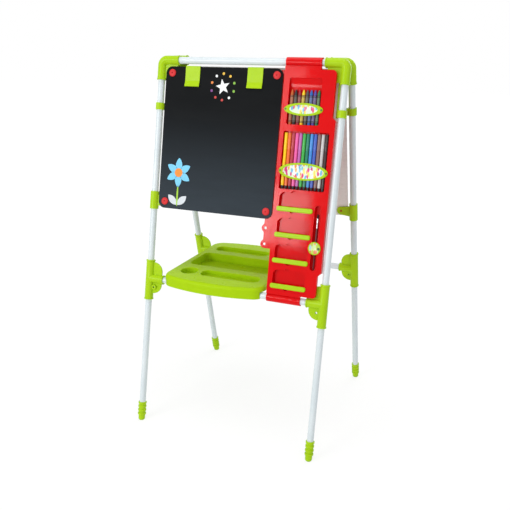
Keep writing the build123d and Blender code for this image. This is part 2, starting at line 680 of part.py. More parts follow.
def caddy():
    """Moulded shell that hooks over the top tube and rolls under the crossbar."""
    outline = caddy_outline()
    shell = slab(outline, CADDY_BACK, CADDY_FACE)
    shell -= slab(offset(outline, -CADDY_WALL, kind=Kind.INTERSECTION), CADDY_BACK, CADDY_INSIDE)
    tube_zone = TUBE + TUBE_CLEARANCE
    for down in (0, CROSSBAR_DOWN):
        zone = panel(CADDY_LEFT, CADDY_RIGHT, down - tube_zone, down + tube_zone)
        shell -= slab(zone, CADDY_BACK, CADDY_INSIDE)
    side = panel(CADDY_RIGHT - CADDY_WALL, CADDY_RIGHT, BELLY_TOP + BELLY_SLOPE, BELLY_BOTTOM - BELLY_SLOPE)
    shell += slab(side, CADDY_BACK - BELLY_DEPTH, CADDY_INSIDE)
    edge = panel(CADDY_LEFT, CADDY_LEFT + CADDY_WALL, FLANGE_TOP, EAR_BOTTOM)
    shell += slab(edge, -FLANGE_BACK, CADDY_INSIDE)
    shell += caddy_flange()
    shell -= on_both_tubes(groove())
    shell += on_both_tubes(neck() - groove())
    shell += on_both_tubes(hook())
    recesses = [(crayon_pan, PAN_DEPTH), (pen_pan, PAN_DEPTH), (brush_channel, BRUSH_DEPTH)]
    recesses += [(lambda grow=0.0, lip=lip: pocket(lip, grow), POCKET_DEPTH) for lip in LIPS]
    for draw, depth in recesses:
        shell += slab(draw(PAN_WALL), CADDY_FACE - depth - PAN_WALL, CADDY_INSIDE)
    for draw, depth in recesses:
        shell -= slab(draw(), CADDY_FACE - depth, CADDY_FACE)
    shell += crayon_ramp()
    for x, down in band_pin_places():
        shell -= through(BAND_PIN + PIN_FIT, x, down, CADDY_FACE - PAN_DEPTH - PAN_WALL, CADDY_FACE)
    keeper_x, keeper_down = keeper_pin_place()
    return shell - through(KEEPER_PIN + PIN_FIT, keeper_x, keeper_down, CADDY_INSIDE, CADDY_FACE)


def band_places():
    """Middle and size of the band across the crayons and of the one across the pens."""
    crayon_middle = (CADDY_LEFT + CRAYON_PAN_IN, CRAYON_PAN_TOP + CRAYON_BAND_DOWN)
    pen_middle = (CADDY_LEFT + PEN_BAND_IN, PEN_PAN_TOP + PEN_BAND_DOWN)
    return [(crayon_middle, CRAYON_BAND), (pen_middle, PEN_BAND)]


def band_pin_places():
    """Both ends of both bands."""
    places = []
    for (x, down), (width, _) in band_places():
        reach = width / 2 - BAND_PIN_IN
        places += [(x - reach, down), (x + reach, down)]
    return places


def band(middle, size):
    """Oval strap across the open front of a pan."""
    x, down = middle
    strap = slab(Pos(x, down) * Ellipse(size[0] / 2, size[1] / 2), CADDY_FACE, CADDY_FACE + BAND_THICKNESS)
    for pin_x, pin_down in band_pin_places():
        strap -= through(BAND_PIN + PIN_FIT, pin_x, pin_down, CADDY_FACE, CADDY_FACE + BAND_THICKNESS)
    return strap


def band_pin(x, down):
    """Headed pin that holds one end of a band to the caddy's face."""
    head = CADDY_FACE + BAND_THICKNESS
    pin = through(BAND_PIN, x, down, CADDY_INSIDE, head)
    return pin + through(BAND_PIN_HEAD, x, down, head, head + BAND_PIN_HEAD_HEIGHT)


def pocket_lip(lip):
    """Bar on the caddy's face along the lower edge of a pocket."""
    middle = CADDY_LEFT + POCKET_IN
    half = LIP_WIDTH / 2
    outline = panel(middle - half, middle + half, lip - LIP_HEIGHT / 2, lip + LIP_HEIGHT / 2, LIP_CORNER)
    bar = slab(outline, CADDY_FACE, CADDY_FACE + LIP_THICKNESS)
    return fillet(bar.faces().sort_by(Axis.Y)[0].edges(), LIP_ROUND)


def keeper_pin_place():
    """Pivot of the keeper badge, near the caddy's right side."""
    return CADDY_LEFT + KEEPER_IN + KEEPER_PIN_OFFSET, PEN_PAN_BOTTOM + KEEPER_DOWN


def keeper_badge():
    """Round badge that swings across the brush channel to keep the brush in."""
    x, down = keeper_pin_place()
    inner = CADDY_FACE + KEEPER_GAP
    badge = through(KEEPER, x - KEEPER_PIN_OFFSET, down, inner, inner + KEEPER_THICKNESS, KEEPER_ROUND)
    return badge - through(KEEPER_PIN + PIN_FIT, x, down, inner, inner + KEEPER_THICKNESS)


def keeper_pin():
    """Headed pin on which the badge swings."""
    x, down = keeper_pin_place()
    head = CADDY_FACE + KEEPER_THICKNESS + 2 * KEEPER_GAP
    pin = through(KEEPER_PIN, x, down, CADDY_INSIDE, head)
    return pin + through(KEEPER_PIN_HEAD, x, down, head, head + KEEPER_PIN_HEAD_HEIGHT)


def row(count, pitch, middle):
    """Places of equal spacing about a middle."""
    return [middle + pitch * (index - (count - 1) / 2) for index in range(count)]


def stand(margin):
    """Height above a pan's lower edge at which the outermost stick clears the pan's round corner."""
    reach = max(PAN_ROUND - margin, 0.0)
    return STICK_GAP + PAN_ROUND - math.sqrt(PAN_ROUND**2 - reach**2)


def crayons():
    """Crayons side by side in their pan, points up."""
    bottom = CRAYON_PAN_TOP + CRAYON_PAN_HEIGHT - stand(CRAYON_PAN_MARGIN)
    top = bottom - CRAYON_LENGTH
    out = CADDY_FACE - PAN_DEPTH + STICK_GAP + CRAYON
    sticks = []
    for x in row(CRAYONS, CRAYON_PITCH, CADDY_LEFT + CRAYON_PAN_IN):
        tip = Pos(x, 0, -(top + CRAYON_TIP / 2)) * Cone(CRAYON, CRAYON_POINT, CRAYON_TIP)
        sticks.append(Pos(0, -out, 0) * (upright(CRAYON, top + CRAYON_TIP, bottom, x) + tip))
    return Part() + sticks


def felt_pens():
    """Felt pens side by side in their pan, tapered ends down."""
    bottom = PEN_PAN_BOTTOM - stand(PEN_PAN_MARGIN)
    top = bottom - PEN_LENGTH
    out = CADDY_FACE - PAN_DEPTH + STICK_GAP + PEN
    sticks = []
    for x in row(PENS, PEN_PITCH, CADDY_LEFT + PEN_PAN_IN):
        end = Pos(x, 0, -(bottom - PEN_TAPER / 2)) * Cone(PEN_END, PEN, PEN_TAPER)
        sticks.append(Pos(0, -out, 0) * (upright(PEN, top, bottom - PEN_TAPER, x) + end))
    return Part() + sticks


def paint_brush():
    """Paint brush in the channel, bristles up."""
    lengths = (PAINT_BRUSH_BRISTLES, PAINT_BRUSH_FERRULE, PAINT_BRUSH_HANDLE)
    radii = (PAINT_BRUSH_TIP, PAINT_BRUSH, PAINT_BRUSH, PAINT_BRUSH_END)
    top = PEN_PAN_BOTTOM + BRUSH_TOP + PAINT_BRUSH_DROP
    brush = Part()
    for length, upper, lower in zip(lengths, radii, radii[1:]):
        stretch = Cylinder(upper, length) if upper == lower else Cone(lower, upper, length)
        brush += Pos(0, 0, -(top + length / 2)) * stretch
        top += length
    out = CADDY_FACE - BRUSH_DEPTH + STICK_GAP + PAINT_BRUSH
    return Pos(CADDY_LEFT + BRUSH_IN, -out, 0) * brush


# Tray


def round_top(body, rounding):
    """Fillet the rim of a body's upper face."""
    return fillet(body.faces().sort_by(Axis.Z)[-1].edges(), rounding)


def tray_recesses(half, grow=0.0):
    """Outline and depth of the tray's well, troughs and cups, grown by a wall."""
    trough = RectangleRounded(TROUGH[0] + 2 * grow, TROUGH[1] + 2 * grow, RECESS_ROUND + grow)
    well = RectangleRounded(2 * (half - WELL_MARGIN + grow), WELL_LENGTH + 2 * grow, RECESS_ROUND + grow)
    recesses = [(well, WELL_DEPTH + grow)]
    for side in (-1, 1):
        recesses.append((Pos(side * (TROUGH_IN - half), side * TROUGH_OUT) * trough, TROUGH_DEPTH + grow))
        recesses.append((Pos(side * (half - CUP_IN), side * CUP_OUT) * Circle(CUP + grow), CUP_DEPTH + grow))
    return recesses


def tray():
    """Loose tray across the two crossbars: deck with a round edge and skirts, a well, troughs and cups."""
    left = -(HALF_SPAN - TRAY_LEG_GAP)
    right = CADDY_LEFT - TRAY_CADDY_GAP
    half = (right - left) / 2
    end = CROSSBAR_OUT + TRAY_END
    belly = CROSSBAR_OUT + TRAY_BELLY
    edges = [
        ThreePointArc((-half, -end), (0, -belly), (half, -end)),
        Line((half, -end), (half, end)),
        ThreePointArc((half, end), (0, belly), (-half, end)),
        Line((-half, end), (-half, -end)),
    ]
    outline = fillet(make_face(edges).vertices(), TRAY_CORNER)
    core = round_top(extrude(offset(outline, -TRAY_WALL), -TRAY_SKIRT), TRAY_EDGE - TRAY_WALL)
    body = round_top(extrude(outline, -TRAY_SKIRT), TRAY_EDGE) - Pos(0, 0, -TRAY_WALL) * core
    # Over the crossbars and between them the skirt is short, so that the rear frame can fold.
    reach = CROSSBAR_OUT + TUBE + SKIRT_GAP
    step = TRAY_SKIRT - TRAY_SIDE_SKIRT
    body -= Pos(0, 0, -TRAY_SIDE_SKIRT - step / 2) * Box(4 * half, 2 * reach, step)
    saddle_height = TRAY_RISE - TRAY_WALL - TUBE - SADDLE_GAP
    saddle = Pos(0, 0, -TRAY_WALL - saddle_height / 2) * Box(SADDLE_THICKNESS, SADDLE_WIDTH, saddle_height)
    for x in row(SADDLES, SADDLE_PITCH, 0):
        body += Pos(x, -CROSSBAR_OUT, 0) * saddle + Pos(x, CROSSBAR_OUT, 0) * saddle
    for recess, depth in tray_recesses(half, TRAY_WALL):
        body += extrude(recess, -depth)
    for recess, depth in tray_recesses(half):
        body -= extrude(recess, -depth)
    deck = body.faces().filter_by(Axis.Z).sort_by(Axis.Z)[-1]
    body = fillet([edge for rim in deck.inner_wires() for edge in rim.edges()], TRAY_ROUND)
    return Pos((left + right) / 2, 0, CROSSBAR_HEIGHT + TRAY_RISE) * body


# Assembly: every node by name, in place


def front_nodes():
    """Front frame with the blackboard, paper clips and caddy."""
    pieces = {"front_" + name: piece for name, piece in frame_pieces(FRONT_LEAF).items()}
    pieces["right_hinge_pin"] = hinge_pin()
    pieces["left_hinge_pin"] = mirror(hinge_pin(), about=Plane.YZ)
    pieces["front_left_board_clip"] = mirror(board_clip(BLACKBOARD_RIVET), about=Plane.YZ)
    rivets = [(x, down) for x in (-RIVET_SIDE, FLANGE_RIVET) for down in (RIVET_DOWN, BLACKBOARD_RIVET)]
    pieces["blackboard"] = board(
        -BOARD_SIDE, BLACKBOARD_RIGHT, BLACKBOARD_BOTTOM, HALF_WEB, BLACKBOARD_FACE, rivets
    )
    backs = {-RIVET_SIDE: -HALF_WEB, FLANGE_RIVET: -FLANGE_BACK}
    pieces["blackboard_rivets"] = Part() + [rivet(x, down, BLACKBOARD_FACE, backs[x]) for x, down in rivets]
    for side, inset in zip(("left", "right"), PAPER_CLIPS_IN):
        pieces["paper_clip_" + side] = paper_clip(-BOARD_SIDE + inset)
    pieces["caddy"] = caddy()
    for name, (middle, size) in zip(("crayon_band", "pen_band"), band_places()):
        pieces[name] = band(middle, size)
    pieces["band_pins"] = Part() + [band_pin(x, down) for x, down in band_pin_places()]
    for index, lip in enumerate(LIPS):
        pieces[f"pocket_lip_{index + 1}"] = pocket_lip(lip)
    pieces["keeper_badge"] = keeper_badge()
    pieces["keeper_pin"] = keeper_pin()
    pieces["crayons"] = crayons()
    pieces["felt_pens"] = felt_pens()
    pieces["paint_brush"] = paint_brush()
    return {name: FRONT * piece for name, piece in pieces.items()}


def rear_nodes():
    """Rear frame with the whiteboard."""
    pieces = {"rear_" + name: piece for name, piece in frame_pieces(REAR_LEAF).items()}
    clip = board_clip(WHITEBOARD_RIVET)
    pieces["rear_right_board_clip"] = clip
    pieces["rear_left_board_clip"] = mirror(clip, about=Plane.YZ)
    rivets = [(x, down) for x in (-RIVET_SIDE, RIVET_SIDE) for down in (RIVET_DOWN, WHITEBOARD_RIVET)]
    middle = HALF_WEB + WHITEBOARD_BACKING
    pieces["whiteboard_backing"] = board(
        -BOARD_SIDE, BOARD_SIDE, WHITEBOARD_BOTTOM, HALF_WEB, middle, rivets
    )
    pieces["whiteboard_sheet"] = board(
        -BOARD_SIDE, BOARD_SIDE, WHITEBOARD_BOTTOM, middle, WHITEBOARD_FACE, rivets
    )
    seat = WHITEBOARD_FACE + WASHER_THICKNESS
    hole = RIVET_SHANK + RIVET_FIT
    washers = []
    for x, down in rivets:
        disc = through(WASHER, x, down, WHITEBOARD_FACE, seat)
        washers.append(disc - through(hole, x, down, WHITEBOARD_FACE, seat))
    pieces["whiteboard_washers"] = Part() + washers
    pieces["whiteboard_rivets"] = Part() + [rivet(x, down, seat, -HALF_WEB) for x, down in rivets]
    return {name: REAR * piece for name, piece in pieces.items()}


os.makedirs("parts", exist_ok=True)
for node, solid in {**front_nodes(), **rear_nodes(), "tray": tray()}.items():
    export_step(solid, f"parts/{node}.step")
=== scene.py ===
"""Looks of a folding easel for children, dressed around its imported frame.

Every place and size comes from the frame's own nodes. A frame piece is described in its leaning plane:
across as a child standing before that side sees it, out from the tubes' plane, and down along the legs
from the top tube's axis. Metres throughout, with sizes of finishes written in millimetres times MM.
"""

from __future__ import annotations

import logging
import math
from dataclasses import dataclass, field
from enum import Enum
from typing import Callable, Sequence

import bmesh
import bpy
from bpy.types import Material, Mesh, Node, NodeSocket, NodeTree, Object
from mathutils import Matrix, Vector

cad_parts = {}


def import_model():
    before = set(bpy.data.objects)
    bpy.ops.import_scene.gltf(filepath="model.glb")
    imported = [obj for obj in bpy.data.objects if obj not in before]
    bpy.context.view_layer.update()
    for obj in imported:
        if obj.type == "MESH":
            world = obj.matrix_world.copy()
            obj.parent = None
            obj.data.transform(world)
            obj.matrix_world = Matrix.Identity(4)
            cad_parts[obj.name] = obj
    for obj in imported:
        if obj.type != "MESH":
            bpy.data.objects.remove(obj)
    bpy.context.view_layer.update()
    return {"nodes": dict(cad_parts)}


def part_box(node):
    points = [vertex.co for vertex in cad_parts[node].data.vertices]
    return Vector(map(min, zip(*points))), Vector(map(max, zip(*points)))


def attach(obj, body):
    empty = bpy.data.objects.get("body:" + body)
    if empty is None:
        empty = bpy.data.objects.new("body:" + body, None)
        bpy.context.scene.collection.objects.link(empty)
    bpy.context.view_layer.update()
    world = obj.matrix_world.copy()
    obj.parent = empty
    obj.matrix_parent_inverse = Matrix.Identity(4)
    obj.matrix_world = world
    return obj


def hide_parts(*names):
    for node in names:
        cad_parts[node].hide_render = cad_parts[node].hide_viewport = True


LOG = logging.getLogger("easel")
MM = 0.001
PICTURE_WIDTH = 510.0  # pixels
WELD = 0.005 * MM
FLAT_ANGLE = math.radians(0.5)  # faces that meet at less are one face
ROUNDING_STEPS = 3
FLAT_WEIGHT = 60  # how much the large faces keep their own shading
TURNED_CREASE, PLATE_CREASE = math.radians(40), math.radians(50)  # sharper edges stay sharp
FACING = 0.5  # least cosine between a face and the way that it faces
GOLDEN_TURN = math.radians(137.5)
NOISE_LOW, NOISE_HIGH, NOISE_DETAIL = 0.3, 0.7, 3.0  # what a noise texture mostly stays between
BARE, SLEEVE, RING = 0.0, 1.0, 2.0  # what shows on a stick's face
HANDS = ("left", "right")
Colour = tuple[float, float, float, float]
Place = tuple[float, float, float]
Outline = list[tuple[float, float]]
Turning = list[tuple[float, float, float]]  # radius, down, and cover from there on
Turner = Callable[[float, float], Turning]  # from radius and length
Mark = tuple[float, float, str, float, float]  # across, down, tint, size and turn


class Side(Enum):
    """One of the two leaning frames: its name and the way that its right points along X."""

    FRONT = ("front", 1.0)
    REAR = ("rear", -1.0)

    @property
    def label(self) -> str:
        """Name that starts the frame's nodes."""
        return self.value[0]

    @property
    def body(self) -> str:
        """Body that the frame's pieces ride on."""
        return f"{self.label}_frame"


class Slot(Enum):
    """Material slots of the record."""

    GREEN = "green_plastic"
    RED = "red_plastic"
    BLACKBOARD = "blackboard_paint"
    WHITEBOARD = "whiteboard_enamel"
    HARDBOARD = "hardboard"
    STEEL = "pin_steel"
    WAX = "crayon_wax"
    PEN = "pen_plastic"
    WOOD = "brush_wood"


def linear(code: str) -> Colour:
    """Turn an sRGB colour into a linear one.

    Args:
        code: Hex code of the colour, with its hash sign.

    Returns:
        Linear red, green, blue and alpha.
    """
    shares = [int(code[start : start + 2], 16) / 255 for start in (1, 3, 5)]
    red, green, blue = (c / 12.92 if c <= 0.04045 else ((c + 0.055) / 1.055) ** 2.4 for c in shares)
    return red, green, blue, 1.0


def add_node(tree: NodeTree, kind: str, inputs: dict | None = None, **settings) -> Node:
    """Add a node with its settings, and fill or link its inputs.

    Args:
        tree: Node tree that gets the node.
        kind: Blender's name of the node type.
        inputs: Socket name or number to a plain value, or to an output socket to link from.
        settings: Attributes of the node.

    Returns:
        The new node.
    """
    node = tree.nodes.new(kind)
    for name, value in settings.items():
        setattr(node, name, value)
    for key, value in (inputs or {}).items():
        if isinstance(value, NodeSocket):
            tree.links.new(value, node.inputs[key])
        else:
            node.inputs[key].default_value = value
    return node


# Finishes


@dataclass(frozen=True)
class Finish:
    """Finish of one real material, with its even values on the shader's own sockets."""

    name: str
    colour: str
    roughness: float
    specular: float = 0.5
    ior: float = 1.5
    metallic: float = 0.0
    transmission: float = 0.0
    gloss_spread: float = 0.04  # of the roughness, either way

    def material(self) -> Material:
        """Give the material, built when it is first asked for."""
        return bpy.data.materials.get(self.name) or self._build()

    def _build(self) -> Material:
        """Build the shader and let the finish dress it.

        Returns:
            The new material.
        """
        material = bpy.data.materials.new(self.name)
        material.use_nodes = True
        tree = material.node_tree
        tree.nodes.clear()
        even = {
            "Base Color": linear(self.colour),
            "Roughness": self.roughness,
            "Specular IOR Level": self.specular,
            "IOR": self.ior,
            "Metallic": self.metallic,
            "Transmission Weight": self.transmission,
        }
        shader = add_node(tree, "ShaderNodeBsdfPrincipled", even)
        add_node(tree, "ShaderNodeOutputMaterial", {"Surface": shader.outputs["BSDF"]})
        self.dress(tree, shader, add_node(tree, "ShaderNodeTexCoord").outputs["Object"])
        return material

    def dress(self, tree: NodeTree, shader: Node, place: NodeSocket) -> None:
        """Add the colour, gloss and relief that vary over the surface.

        Args:
            tree: Node tree of the material.
            shader: Its principled shader.
            place: Object coordinates, in metres.
        """

    def varied(self, tree: NodeTree, place: NodeSocket, size: float, low: float, high: float) -> NodeSocket:
        """Let a value wander over patches of a real size.

        Args:
            tree: Node tree of the material.
            place: Coordinates that the patches lie in.
            size: Width of a patch, in metres.
            low: Least value.
            high: Greatest value.

        Returns:
            Socket with the value.
        """
        noise = {"Vector": place, "Scale": 1 / size, "Detail": NOISE_DETAIL}
        patches = add_node(tree, "ShaderNodeTexNoise", noise)
        spread = {"Value": patches.outputs["Fac"], "From Min": NOISE_LOW, "From Max": NOISE_HIGH}
        spread |= {"To Min": low, "To Max": high}
        return add_node(tree, "ShaderNodeMapRange", spread).outputs["Result"]

    def uneven_gloss(self, tree: NodeTree, shader: Node, place: NodeSocket, size: float) -> None:
        """Let the roughness wander over patches of a real size in metres."""
        low, high = self.roughness - self.gloss_spread, self.roughness + self.gloss_spread
        tree.links.new(self.varied(tree, place, size, low, high), shader.inputs["Roughness"])

    def uneven_face(self, tree: NodeTree, shader: Node, place: NodeSocket, size: float, depth: float) -> None:
        """Raise and sink the surface over patches of a real size.

        Args:
            tree: Node tree of the material.
            shader: Its principled shader.
            place: Coordinates that the patches lie in.
            size: Width of a patch, in metres.
            depth: From the lowest place to the highest, in metres.
        """
        height = self.varied(tree, place, size, 0.0, 1.0)
        bump = add_node(tree, "ShaderNodeBump", {"Strength": 1.0, "Distance": depth, "Height": height})
        tree.links.new(bump.outputs["Normal"], shader.inputs["Normal"])


@dataclass(frozen=True)
class MouldedPlastic(Finish):
    """Injection-moulded plastic: even colour with faint flow clouds, a soft gloss and a fine orange peel."""

    shade: str = "#000000"
    cloud: float = 70 * MM
    peel: float = 3.5 * MM
    peel_depth: float = 0.004 * MM

    def dress(self, tree: NodeTree, shader: Node, place: NodeSocket) -> None:
        """Cloud the colour a little, vary the gloss and add the mould's texture.

        Args:
            tree: Node tree of the material.
            shader: Its principled shader.
            place: Object coordinates, in metres.
        """
        cloud = self.varied(tree, place, self.cloud, 0.0, 1.0)
        mix = {0: cloud, 6: linear(self.colour), 7: linear(self.shade)}
        colour = add_node(tree, "ShaderNodeMix", mix, data_type="RGBA")
        tree.links.new(colour.outputs[2], shader.inputs["Base Color"])
        self.uneven_gloss(tree, shader, place, self.cloud / 4)
        self.uneven_face(tree, shader, place, self.peel, self.peel_depth)


@dataclass(frozen=True)
class BoardPaint(Finish):
    """Flat board coating with faint wiping marks across it, and a painted reflection that shifts its tone
    towards the lower edge.
    """

    # colour of the wiped haze and of the painted reflection of the pale floor, strongest at the lower edge
    haze: str = "#ffffff"
    haze_share: float = 0.1
    bottom: float = 0.6  # height of the board's lower edge
    top: float = 1.0  # height of its upper edge
    wipe: float = 30 * MM  # width of a wiping mark
    wipe_share: float = 0.22  # its width as a share of its length
    wipe_lean: float = 24.0  # degrees
    wipe_least: float = 0.8  # share of the haze left between the marks
    grit: float = 0.9 * MM
    grit_depth: float = 0.01 * MM

    def dress(self, tree: NodeTree, shader: Node, place: NodeSocket) -> None:
        """Lay the wiping haze and the painted reflection, which grows from the upper edge to the lower one,
        along the wiping strokes, and give the coating its grit.

        Args:
            tree: Node tree of the material.
            shader: Its principled shader.
            place: Object coordinates, in metres.
        """
        lean = (0.0, math.radians(self.wipe_lean), 0.0)
        stretch = {"Vector": place, "Scale": (self.wipe_share, 1.0, 1.0), "Rotation": lean}
        strokes = add_node(tree, "ShaderNodeMapping", stretch).outputs["Vector"]
        marks = self.varied(tree, strokes, self.wipe, self.wipe_least, 1.0)
        # painted reflection: the haze colour grows from the upper edge down to the lower one, broken by the
        # wiping marks
        height = add_node(tree, "ShaderNodeSeparateXYZ", {"Vector": place}).outputs["Z"]
        fall = {"Value": height, "From Min": self.top, "From Max": self.bottom, "To Max": self.haze_share}
        lower = add_node(tree, "ShaderNodeMapRange", fall, interpolation_type="SMOOTHSTEP")
        both = {0: marks, 1: lower.outputs["Result"]}
        amount = add_node(tree, "ShaderNodeMath", both, operation="MULTIPLY")
        mix = {0: amount.outputs[0], 6: linear(self.colour), 7: linear(self.haze)}
        colour = add_node(tree, "ShaderNodeMix", mix, data_type="RGBA")
        tree.links.new(colour.outputs[2], shader.inputs["Base Color"])
        self.uneven_gloss(tree, shader, strokes, self.wipe)
        self.uneven_face(tree, shader, place, self.grit, self.grit_depth)


@dataclass(frozen=True)
class PressedFibre(Finish):
    """Hardboard: brown pressed fibres with flecks, and the screen's fine mesh on its rough side."""

    fleck: str = "#000000"
    fibre: float = 5 * MM
    streak: float = 0.5  # a fibre's width as a share of its length
    mesh: float = 3 * MM  # drawn coarser than the real screen, so that it shows
    mesh_depth: float = 0.06 * MM
    wave: float = 0.314  # length of the wave texture at scale 1

    def dress(self, tree: NodeTree, shader: Node, place: NodeSocket) -> None:
        """Mix the flecks into the fibres and press the screen into them.

        Args:
            tree: Node tree of the material.
            shader: Its principled shader.
            place: Object coordinates, in metres.
        """
        streak = add_node(tree, "ShaderNodeMapping", {"Vector": place, "Scale": (self.streak, 1.0, 1.0)})
        fibres = self.varied(tree, streak.outputs["Vector"], self.fibre, 0.0, 1.0)
        mix = {0: fibres, 6: linear(self.colour), 7: linear(self.fleck)}
        colour = add_node(tree, "ShaderNodeMix", mix, data_type="RGBA")
        tree.links.new(colour.outputs[2], shader.inputs["Base Color"])
        wires = {}
        for index, direction in enumerate(("X", "Z")):
            spacing = {"Vector": place, "Scale": self.wave / self.mesh}
            wire = add_node(tree, "ShaderNodeTexWave", spacing, bands_direction=direction)
            wires[index] = wire.outputs["Fac"]
        screen = add_node(tree, "ShaderNodeMath", wires, operation="MULTIPLY")
        pressed = {"Strength": 1.0, "Distance": self.mesh_depth, "Height": screen.outputs[0]}
        bump = add_node(tree, "ShaderNodeBump", pressed)
        tree.links.new(bump.outputs["Normal"], shader.inputs["Normal"])


@dataclass(frozen=True)
class DrawnSteel(Finish):
    """Drawn steel: bright metal with fine lines along its length."""

    gloss_spread: float = 0.1
    line: float = 1.2 * MM
    draw: float = 0.05  # a line's width as a share of its length

    def dress(self, tree: NodeTree, shader: Node, place: NodeSocket) -> None:
        """Stretch a noise along X into drawing lines.

        Args:
            tree: Node tree of the material.
            shader: Its principled shader.
            place: Object coordinates, in metres.
        """
        drawn = add_node(tree, "ShaderNodeMapping", {"Vector": place, "Scale": (self.draw, 1.0, 1.0)})
        self.uneven_gloss(tree, shader, drawn.outputs["Vector"], self.line)


@dataclass(frozen=True)
class StickColours(Finish):
    """Coloured sticks and prints: each face shows its own tint, a tinted cover or a dark ring.

    The face attribute named cover is BARE, SLEEVE or RING.
    """

    gloss_spread: float = 0.05
    cover_tint: float = 0.0  # how much of the tint shows on the cover
    speckle: float = 0.0  # how dark the print on the cover is
    ring: str = "#1c1a1b"
    mottle: float = 0.92  # value of the darkest clouds
    grain: float = 2.5 * MM
    grain_depth: float = 0.004 * MM

    def dress(self, tree: NodeTree, shader: Node, place: NodeSocket) -> None:
        """Read the tint and the cover, and mottle them.

        Args:
            tree: Node tree of the material.
            shader: Its principled shader.
            place: Object coordinates, in metres.
        """
        tint = add_node(tree, "ShaderNodeAttribute", attribute_name="tint").outputs["Color"]
        cover = add_node(tree, "ShaderNodeAttribute", attribute_name="cover").outputs["Fac"]
        dyed = {0: self.cover_tint, 6: linear(self.colour), 7: tint}
        sleeve = add_node(tree, "ShaderNodeMix", dyed, data_type="RGBA").outputs[2]
        print_share = self.varied(tree, place, self.grain, 0.0, self.speckle)
        inked = {0: print_share, 6: sleeve, 7: linear(self.ring)}
        printed = add_node(tree, "ShaderNodeMix", inked, data_type="RGBA").outputs[2]
        chosen = add_node(tree, "ShaderNodeMix", {0: cover, 6: tint, 7: printed}, data_type="RGBA").outputs[2]
        past = {0: cover, 1: (SLEEVE + RING) / 2}
        ringed = add_node(tree, "ShaderNodeMath", past, operation="GREATER_THAN").outputs[0]
        banded = {0: ringed, 6: chosen, 7: linear(self.ring)}
        colour = add_node(tree, "ShaderNodeMix", banded, data_type="RGBA").outputs[2]
        mottle = self.varied(tree, place, self.grain * 4, self.mottle, 1.0)
        shaded = add_node(tree, "ShaderNodeHueSaturation", {"Color": colour, "Value": mottle})
        tree.links.new(shaded.outputs["Color"], shader.inputs["Base Color"])
        self.uneven_gloss(tree, shader, place, self.grain * 2)
        self.uneven_face(tree, shader, place, self.grain, self.grain_depth)


@dataclass(frozen=True)
class DabPrint(Finish):
    """Label printed with loose upright dabs of colour on a pale ground, under a clear film."""

    inks: tuple[str, ...] = ()
    dab: float = 5.5 * MM  # width of a dab's cell
    squat: float = 0.45  # its width as a share of its height
    lean: float = 20.0  # degrees from upright
    scatter: float = 0.9  # of the cells' middles
    spread: float = 0.6  # reach of the ink in its cell
    edge: float = 0.08  # share of a cell in which the ink fades out

    def dress(self, tree: NodeTree, shader: Node, place: NodeSocket) -> None:
        """Choose an ink for each cell and print it where the cell's middle is near.

        Args:
            tree: Node tree of the material.
            shader: Its principled shader.
            place: Object coordinates, in metres.
        """
        lean = (0.0, math.radians(self.lean), 0.0)
        tall = {"Vector": place, "Rotation": lean, "Scale": (1.0, self.squat, self.squat)}
        cell_place = add_node(tree, "ShaderNodeMapping", tall).outputs["Vector"]
        spacing = {"Vector": cell_place, "Scale": 1 / self.dab, "Randomness": self.scatter}
        cells = add_node(tree, "ShaderNodeTexVoronoi", spacing)
        choice = add_node(tree, "ShaderNodeValToRGB", {"Fac": cells.outputs["Color"]})
        choice.color_ramp.interpolation = "CONSTANT"
        stops = choice.color_ramp.elements
        for index, ink in enumerate(self.inks):
            at = index / len(self.inks)
            stop = stops[index] if index < len(stops) else stops.new(at)
            stop.position = at
            stop.color = linear(ink)
        near = {"Value": cells.outputs["Distance"], "From Min": self.spread}
        near["From Max"] = self.spread - self.edge
        dabs = add_node(tree, "ShaderNodeMapRange", near)
        mix = {0: dabs.outputs["Result"], 6: linear(self.colour), 7: choice.outputs["Color"]}
        colour = add_node(tree, "ShaderNodeMix", mix, data_type="RGBA")
        tree.links.new(colour.outputs[2], shader.inputs["Base Color"])


# Powder-coated steel: an even, slightly bluish white with a satin gloss and a fine orange peel.
TUBE_COAT = MouldedPlastic("powder_coated_steel", "#d6dee1", 0.3, shade="#ced8dc")
# Lime polypropylene: moulded with a soft gloss.
LIME = MouldedPlastic("moulded_polypropylene", "#a9cd1a", 0.24, specular=0.12, ior=1.49, shade="#a2c813")
# The same polypropylene in the tray's die, which is grained to hide scratches.
GRAINED_LIME = MouldedPlastic(
    "grained_polypropylene", "#a6cc12", 0.3, specular=0.05, ior=1.49, shade="#a0c70e"
)
# Red ABS: the glossiest moulding, which takes soft pale reflections of the lamps.
RED = MouldedPlastic("moulded_abs", "#d90409", 0.08, specular=0.12, ior=1.53, shade="#d10308")
# Red polyamide of the rivets, moulded with a duller face.
RIVET = MouldedPlastic("moulded_polyamide", "#cf2629", 0.5, specular=0.3, ior=1.53, shade="#c92225")
# Dark green polypropylene of the small snap pins, moulded matt.
DARK = MouldedPlastic("moulded_dark_polypropylene", "#3f5c1d", 0.45, ior=1.49, shade="#36511a")
# Soft clear PVC of the washers: milky, so that little shows through.
CLEAR = MouldedPlastic("clear_pvc", "#f2f1f0", 0.25, ior=1.53, transmission=0.2, shade="#ebebea")
# Chalkboard paint: rolled and baked, almost matt, with faint wiping marks and a painted reflection of the
# pale floor that makes it lighter and bluish-grey low down.
CHALKBOARD = BoardPaint(
    "chalkboard_paint", "#0c0e10", 0.7, specular=0.1, haze="#363e45", haze_share=0.95, top=0.9
)
# Enamelled steel sheet: hard, bright and smooth, with a breath of haze along faint wiping marks, a little
# greyer towards the lower edge.
ENAMEL = BoardPaint("enamelled_steel", "#e3dfdf", 0.2, haze="#d6d4d7", haze_share=0.4, grit_depth=0.0025 * MM)
